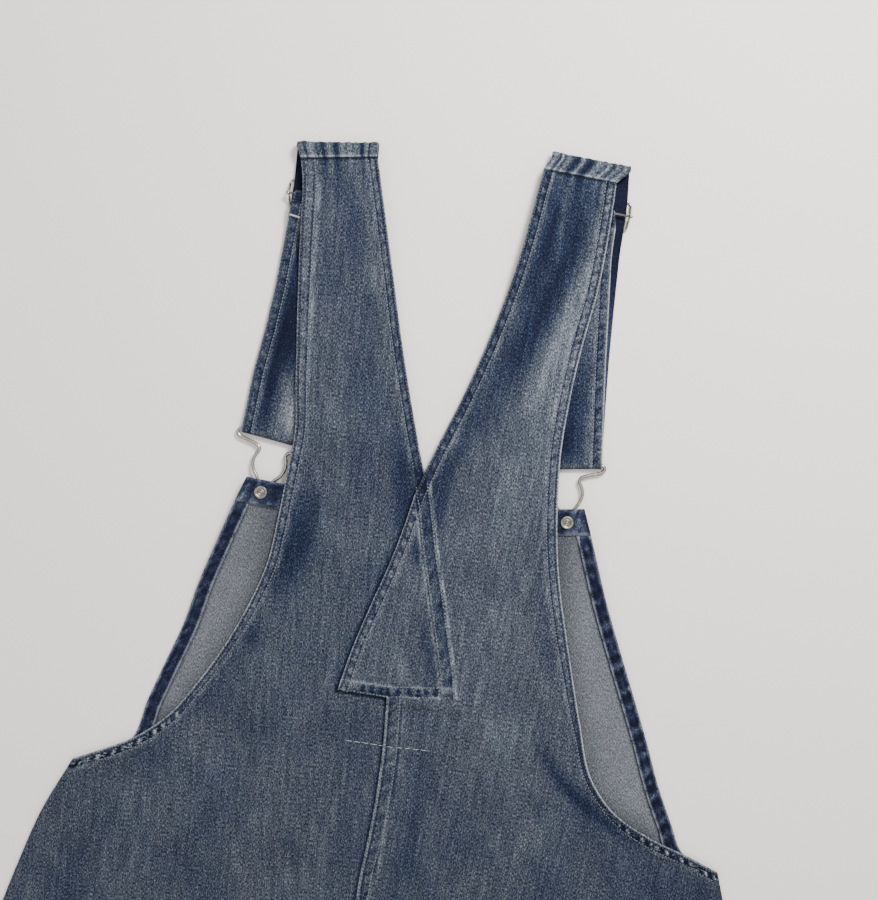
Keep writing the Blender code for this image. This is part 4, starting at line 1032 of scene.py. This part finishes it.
def strapRibbon(side, seed):
    rings = strapRings(side)
    size = (len(rings), len(strapShares))
    top, under, ridge = (np.zeros((*size, 3)) for _ in range(3))
    tone, wrong, place = np.zeros(size), np.zeros(size), np.zeros((*size, 2))
    look = dict(hemLooks["hem"], rows=strap["rows"], width=strap["hem"], relief=strap["relief"])
    run = 0.0
    for i, (y, z, layer, middle, half) in enumerate(rings):
        before, after = rings[max(i - 1, 0)], rings[min(i + 1, len(rings) - 1)]
        along = np.array([after[0] - before[0], after[1] - before[1]])
        along = along / np.hypot(*along)
        face = np.array([0, -along[1], along[0]])
        run += math.hypot(y - before[0], z - before[1])
        runs = np.full(size[1], run)
        width = np.hypot(*half[:2])
        inward = width * (1 - np.abs(strapShares))
        height, shade = hemProfile(inward, runs, look, seed + (strapShares > 0) * 1.3)
        if layer == "top":
            height = height + 0.35 * ripple(strapShares * 4.6, seed + 0.8) - 0.5 * hump(run, 0.8)
            shade = shade * 0.3 + 1.1 * barTones(strapShares, side) + 0.04 + 0.3 * hump(run - 0.9, 1.1)
        if layer in ("under", "bar", "end") or (layer == "top" and face[2] < 0.2):
            height = np.minimum(height, 0.0)
        if layer == "tail":
            spots = middle[:2] + half[:2] * strapShares[:, None]
            shade = shade + strokes(spots[:, 0], spots[:, 1], wear=strapWear[side])[1]
            if side == "right":
                shade = shade + 0.26 * hump((1 - strapShares) * width - 1.2, 1.3)
        # painted shade on the end turned round the slide's bar and tucked under the tail
        if layer == "end":
            shade = shade - 0.24
        spots = middle + np.array([0, 0, z]) + half * strapShares[:, None]
        top[i] = spots + face * (denim["wall"] / 2 + height[:, None])
        under[i] = spots - face * denim["wall"] / 2
        ridge[i] = face
        drift = ripple(strapShares * 2.2 + run / 90, seed) + ripple(run / 25 + strapShares, seed)
        tone[i] = shade + 0.02 * drift
        wrong[i] = np.interp(run, *zip(*insideRunWithShade[side]))
        wrong[i] += 0.06 * hump(inward - 8.5, 1.0) - 0.08 * hump(inward - 1.8, 0.8)
        place[i] = np.stack([strapShares * width, runs], -1)
    bm = bmesh.new()
    layGrid(bm, top, under, tone, wrong, place)
    closeSheet(bm, 0.001)
    strapSurface[side] = (rings, top, ridge)
    return finishPiece(bm, "strapFront" + side.capitalize(), (washedDenim, turnedDenim),
                       ("strap_front_" + side,))


strapFrontLeft = strapRibbon("left", 0.6)
strapFrontRight = strapRibbon("right", 2.8)
print("strap fronts made")

# Stitches

stitch = {"length": 2.1, "pitch": 2.8, "width": 0.8, "height": 0.46, "lift": 0.12}
looseStitch = {"length": 7.6, "pitch": 7.2, "width": 0.5, "height": 0.45, "lift": 0.15}
barStitch = {"length": 2.2, "width": 0.9, "height": 0.6, "lift": 0.2,
             "from": (-139.6, 658.3), "to": (-130.8, 656.9), "count": 11}
upward = (0, 0, 1)


def runOf(line):
    return np.concatenate([[0], np.cumsum(np.linalg.norm(np.diff(line, axis=0), axis=1))])


def resample(line, pitch):
    # points at an even pitch along the line
    line, run = np.asarray(line, float), runOf(line)
    stops = np.arange(pitch * 0.5, run[-1], pitch)
    return np.stack([np.interp(stops, run, line[:, k]) for k in range(line.shape[1])], -1)


def insetLine(line, inward, flip=1):
    # the line moved sideways to its left by a distance
    way = np.gradient(np.asarray(line, float), axis=0)
    way = way / np.linalg.norm(way, axis=1)[:, None]
    return line + np.stack([-way[:, 1], way[:, 0]], -1) * inward * flip


def addStitches(bm, centres, ways, normals, look=stitch, slot=0):
    size = Matrix.Diagonal((look["length"] / 2, look["width"] / 2, look["height"] / 2))
    for centre, way, normal in zip(centres, ways, normals):
        way = Vector(way).normalized()
        across = Vector(normal).cross(way).normalized()
        turn = Matrix((way, across, way.cross(across))).transposed()
        matrix = Matrix.Translation(Vector(centre) * mm) @ (turn @ size * mm).to_4x4()
        made = bmesh.ops.create_icosphere(bm, subdivisions=1, radius=1.0, matrix=matrix)
        for face in {face for vert in made["verts"] for face in vert.link_faces}:
            face.material_index = slot


def sewFlat(bm, line, surfaceAt, slot=0):
    points = resample(line, stitch["pitch"])
    ways = np.gradient(points, axis=0)
    ways = ways / np.linalg.norm(ways, axis=1)[:, None]
    before, here, after = (surfaceAt(*(points + ways * k).T) for k in (-1.0, 0.0, 1.0))
    centres = np.column_stack([points, here + stitch["lift"]])
    ways = np.column_stack([ways, (after - before) / 2])
    addStitches(bm, centres, ways, [upward] * len(points), slot=slot)


def leftTop(x, y):
    return lieHeight(x, y) + denim["wall"] + leftBackLook(x, y)[0]


def rightTop(x, y):
    return lappedHeight(x, y) + denim["wall"] + rightBackLook(x, y)[0]


def bibHemTop(x, y):
    return overBib(x, y) + denim["wall"]


def sewHem(bm, line, look, surfaceAt, flip, course=((0, 1), (1, 1))):
    # rows in a hem whose width changes along its run; beside a hem's edge the row has sunk in, and its
    # stitches get the darker thread as painted shade
    wide = np.interp(runOf(line), [c[0] for c in course], [c[1] for c in course])
    for row in look["rows"]:
        beside = row < sewn["edgeZone"]
        inward = row + 0 * wide if beside else sewn["edgeZone"] + (row - sewn["edgeZone"]) * wide
        inset = line + (insetLine(line, 1.0, flip) - line) * inward[:, None]
        sewFlat(bm, inset, surfaceAt, int("edge" in look and beside))


bm = bmesh.new()
sewHem(bm, armholeLeft, hemLooks["armhole"], leftTop, -1, courses["armholeLeft"])
sewHem(bm, strapInnerLeft[7:], hemLooks["hem"], leftTop, 1)
sewHem(bm, np.linspace(*legHemLeft, 9), hemLooks["legHem"], leftTop, 1)
stitchesLeft = finishPiece(bm, "stitchesBackLeft", (paleThread, darkAndShadedThread))

bm = bmesh.new()
sewHem(bm, armholeRight, hemLooks["armhole"], rightTop, 1, courses["armholeRight"])
sewHem(bm, strapInnerRight, hemLooks["hem"], rightTop, -1)
sewHem(bm, np.linspace(*legHemRight, 9), hemLooks["legHem"], rightTop, 1)
sewHem(bm, resample(triangleBase, 4), bandLooks["base"], rightTop, 1)
sewHem(bm, resample(triangleRightLine, 4), bandLooks["under"], rightTop, 1)
sewHem(bm, centreSeam, bandLooks["felled"], rightTop, 1, seamCourse)
stitchesRight = finishPiece(bm, "stitchesBackRight", (paleThread, darkAndShadedThread))

bm = bmesh.new()
for line, inward, flip in ((bibLeft[sideStart:topStart], bibLook["sideRow"], -1),
                           (bibRight[sideStart:topStart], bibLook["sideRow"], 1),
                           (resample(bibGrid[-1], 6), bibLook["topRow"], -1)):
    sewFlat(bm, insetLine(line, inward, flip), bibHemTop)
stitchesBib = finishPiece(bm, "stitchesBib", (darkAndShadedThread,))


def sewStrap(bm, side, inward):
    rings, top, ridge = strapSurface[side]
    widths = np.linalg.norm(top[:, -1] - top[:, 0], axis=1) / 2
    rows = np.arange(len(top))
    for sign in (-1, 1):
        share = sign * (1 - inward / widths)
        j = np.clip(np.searchsorted(strapShares, share), 1, len(strapShares) - 1)
        t = ((share - strapShares[j - 1]) / (strapShares[j] - strapShares[j - 1]))[:, None]
        line = top[rows, j - 1] * (1 - t) + top[rows, j] * t
        stops = np.arange(6, runOf(line)[-1], stitch["pitch"])
        both = np.hstack([line, ridge[:, 0]])
        points = np.stack([np.interp(stops, runOf(line), both[:, k]) for k in range(6)], -1)
        spots, faces = points[:, :3], points[:, 3:]
        # rows beside the strap's edge get the darker thread as painted shade
        slot = int(inward < sewn["edgeZone"])
        addStitches(bm, spots + faces * 0.1, np.gradient(spots, axis=0), faces, slot=slot)


for side in ("left", "right"):
    bm = bmesh.new()
    for inward in strap["rows"]:
        sewStrap(bm, side, inward)
    finishPiece(bm, "stitchesStrap" + side.capitalize(), (paleThread, darkAndShadedThread))

bm = bmesh.new()
loose = resample([(-38.7, 217.9), (-8, 217.0), (12, 217.6), (35, 217.4)], looseStitch["pitch"])
looseTop = np.where(loose[:, 0] < -6, leftTop(*loose.T), rightTop(*loose.T))
looseWays = np.column_stack([np.gradient(loose, axis=0), 0 * looseTop])
loose = np.column_stack([loose, looseTop + looseStitch["lift"]])
addStitches(bm, loose, looseWays, [upward] * len(loose), looseStitch)
# the dense bar of stitches that sews the left strap's end, on the strap's upper layer
rings, top, ridge = strapSurface["left"]
tail = np.vstack([row for row, ring in zip(top, rings) if ring[2] == "tail"])
for spot in np.linspace(barStitch["from"], barStitch["to"], barStitch["count"]):
    nearest = np.argsort(np.hypot(*(tail[:, :2] - spot).T))[:4]
    addStitches(bm, [(*spot, tail[nearest, 2].max() + barStitch["lift"])], [(0.3, 1, 0)], [upward], barStitch)
finishPiece(bm, "whiteStitches", (whiteThread,))
print("stitches sewn")

# Metal


def turnedPoint(spot, u, v, z):
    x, y, tilt = spot
    a = math.radians(tilt)
    return Vector((x + u * math.cos(a) - v * math.sin(a), y + u * math.sin(a) + v * math.cos(a), z)) * mm


def addWire(bm, points, radius, cyclic):
    curve = bpy.data.curves.new("wireLine", "CURVE")
    curve.dimensions, curve.bevel_depth, curve.bevel_resolution = "3D", radius * mm, 4
    curve.use_fill_caps = True
    spline = curve.splines.new("POLY")
    spline.points.add(len(points) - 1)
    for target, point in zip(spline.points, points):
        target.co = (*point, 1)
    spline.use_cyclic_u = cyclic
    line = addObject("wireLine", curve)
    bpy.context.view_layer.update()
    mesh = bpy.data.meshes.new_from_object(line.evaluated_get(bpy.context.evaluated_depsgraph_get()))
    bm.from_mesh(mesh)
    for store, used in ((bpy.data.objects, line), (bpy.data.curves, curve), (bpy.data.meshes, mesh)):
        store.remove(used)
    bmesh.ops.remove_doubles(bm, verts=bm.verts[:], dist=0.01 * mm)
    bmesh.ops.recalc_face_normals(bm, faces=bm.faces[:])


hookHalf = [
    (0, -5.2), (3.7, -3.7), (5.2, 0), (5.2, 4.5), (5.7, 8.5), (7.6, 12.2), (11.2, 16.4), (13.5, 21),
    (14.2, 25.6), (13.1, 30.8), (11.6, 34.8), (12.8, 37.4), (17, 39.2), (24, 40.6), (30.6, 41.9),
    (33.4, 44.2), (33.1, 46.9), (31.2, 48.2),
]


def hookBuckle(side):
    outline = [(-u, v) for u, v in hookHalf[:0:-1]] + hookHalf
    line = smoothEdge(outline, (), [5] * (len(outline) - 1))
    barEnd, high, low = hookHalf[-1][0], wire["neckHeight"], wire["hookBarHeight"]
    line = np.vstack([line, [(barEnd - barEnd * k / 6, wire["hookBarV"]) for k in range(1, 12)]])
    bm = bmesh.new()
    heights = high - (high - low) * ease(10, 42, line[:, 1])
    points = [turnedPoint(buttonPlaces[side], *spot, height) for spot, height in zip(line, heights)]
    addWire(bm, points, wire["hook"], True)
    finishPiece(bm, "hookBuckle" + side.capitalize(), (agedSteel,), ("hook_buckle_" + side,))


def strapSlide(side):
    wide, high = wire["slideHalf"]
    corner, rise = wire["slideCorner"], wire["barHeight"] - wire["slide"]
    outline = []
    for sx, sy, start in ((1, 1, 0), (-1, 1, 90), (-1, -1, 180), (1, -1, 270)):
        outline += arcPoints(sx * (wide - corner), sy * (high - corner), corner, start, start + 90, 6)
        if sx * sy < 0:
            outline += [(sx * wide, sy * share * (high - corner)) for share in np.linspace(0.8, -0.8, 9)]
    bm = bmesh.new()
    place = slidePlaces[side]
    arch = [turnedPoint(place, u, v, wire["slide"] + rise * ease(high - 2, 0, abs(v))) for u, v in outline]
    addWire(bm, arch, wire["slide"], True)
    ends = [turnedPoint(place, u, 0, wire["barHeight"]) for u in (-wide - 0.9, wide + 0.9)]
    addWire(bm, ends, wire["slide"], False)
    for end in ends:
        bmesh.ops.create_uvsphere(bm, u_segments=16, v_segments=10, radius=wire["knob"] * mm,
                                  matrix=Matrix.Translation(end))
    finishPiece(bm, "strapSlide" + side.capitalize(), (agedSteel,), ("strap_slide_" + side,))


# Profiles run down the outer side: radius, height
buttonProfile = [
    (0, 7.0), (3.2, 7.0), (3.5, 6.7), (3.5, 3.3), (3.9, 3.0), (7.2, 3.0), (8.0, 2.8), (8.4, 2.3), (8.5, 1.6),
    (8.4, 0.7), (8.0, 0.2), (7.4, 0.0), (6.6, 0.0), (6.3, 0.25), (0, 0.25),
]
tackProfile = [
    (0, 0.8), (0.5, 0.78), (0.8, 0.5), (1.3, 0.42), (1.6, 0.8), (2.0, 1.06), (2.4, 0.98), (2.7, 0.5),
    (3.1, 0.36), (3.4, 0.62), (3.8, 0.84), (4.4, 1.04), (5.0, 1.08), (5.4, 0.9), (5.6, 0.5), (5.5, 0.15),
    (5.2, 0.0), (0, 0.0),
]


def turnedPiece(name, profile, spot, z, replaced):
    bm = bmesh.new()
    rim = [bm.verts.new(Vector((r, 0, h)) * mm) for r, h in profile]
    edges = [bm.edges.new((a, b)) for a, b in zip(rim, rim[1:])]
    bmesh.ops.spin(bm, geom=rim + edges, cent=(0, 0, 0), axis=upward, angle=math.tau, steps=40,
                   use_merge=True)
    bmesh.ops.remove_doubles(bm, verts=bm.verts[:], dist=0.005 * mm)
    bmesh.ops.recalc_face_normals(bm, faces=bm.faces[:])
    bmesh.ops.translate(bm, verts=bm.verts[:], vec=Vector((spot[0], spot[1], z)) * mm)
    finishPiece(bm, name, (dullSteel,), replaced)


tackHeight = denim["hookRise"] + 2 * (denim["wall"] + denim["gap"])
for side, spot in buttonPlaces.items():
    title = side.capitalize()
    hookBuckle(side)
    strapSlide(side)
    turnedPiece("bibButton" + title, buttonProfile, spot, 0, ("bib_button_" + side,))
    turnedPiece("bibButtonTack" + title, tackProfile, spot, tackHeight, ("bib_button_tack_" + side,))
print("metal made")

print("scene complete")
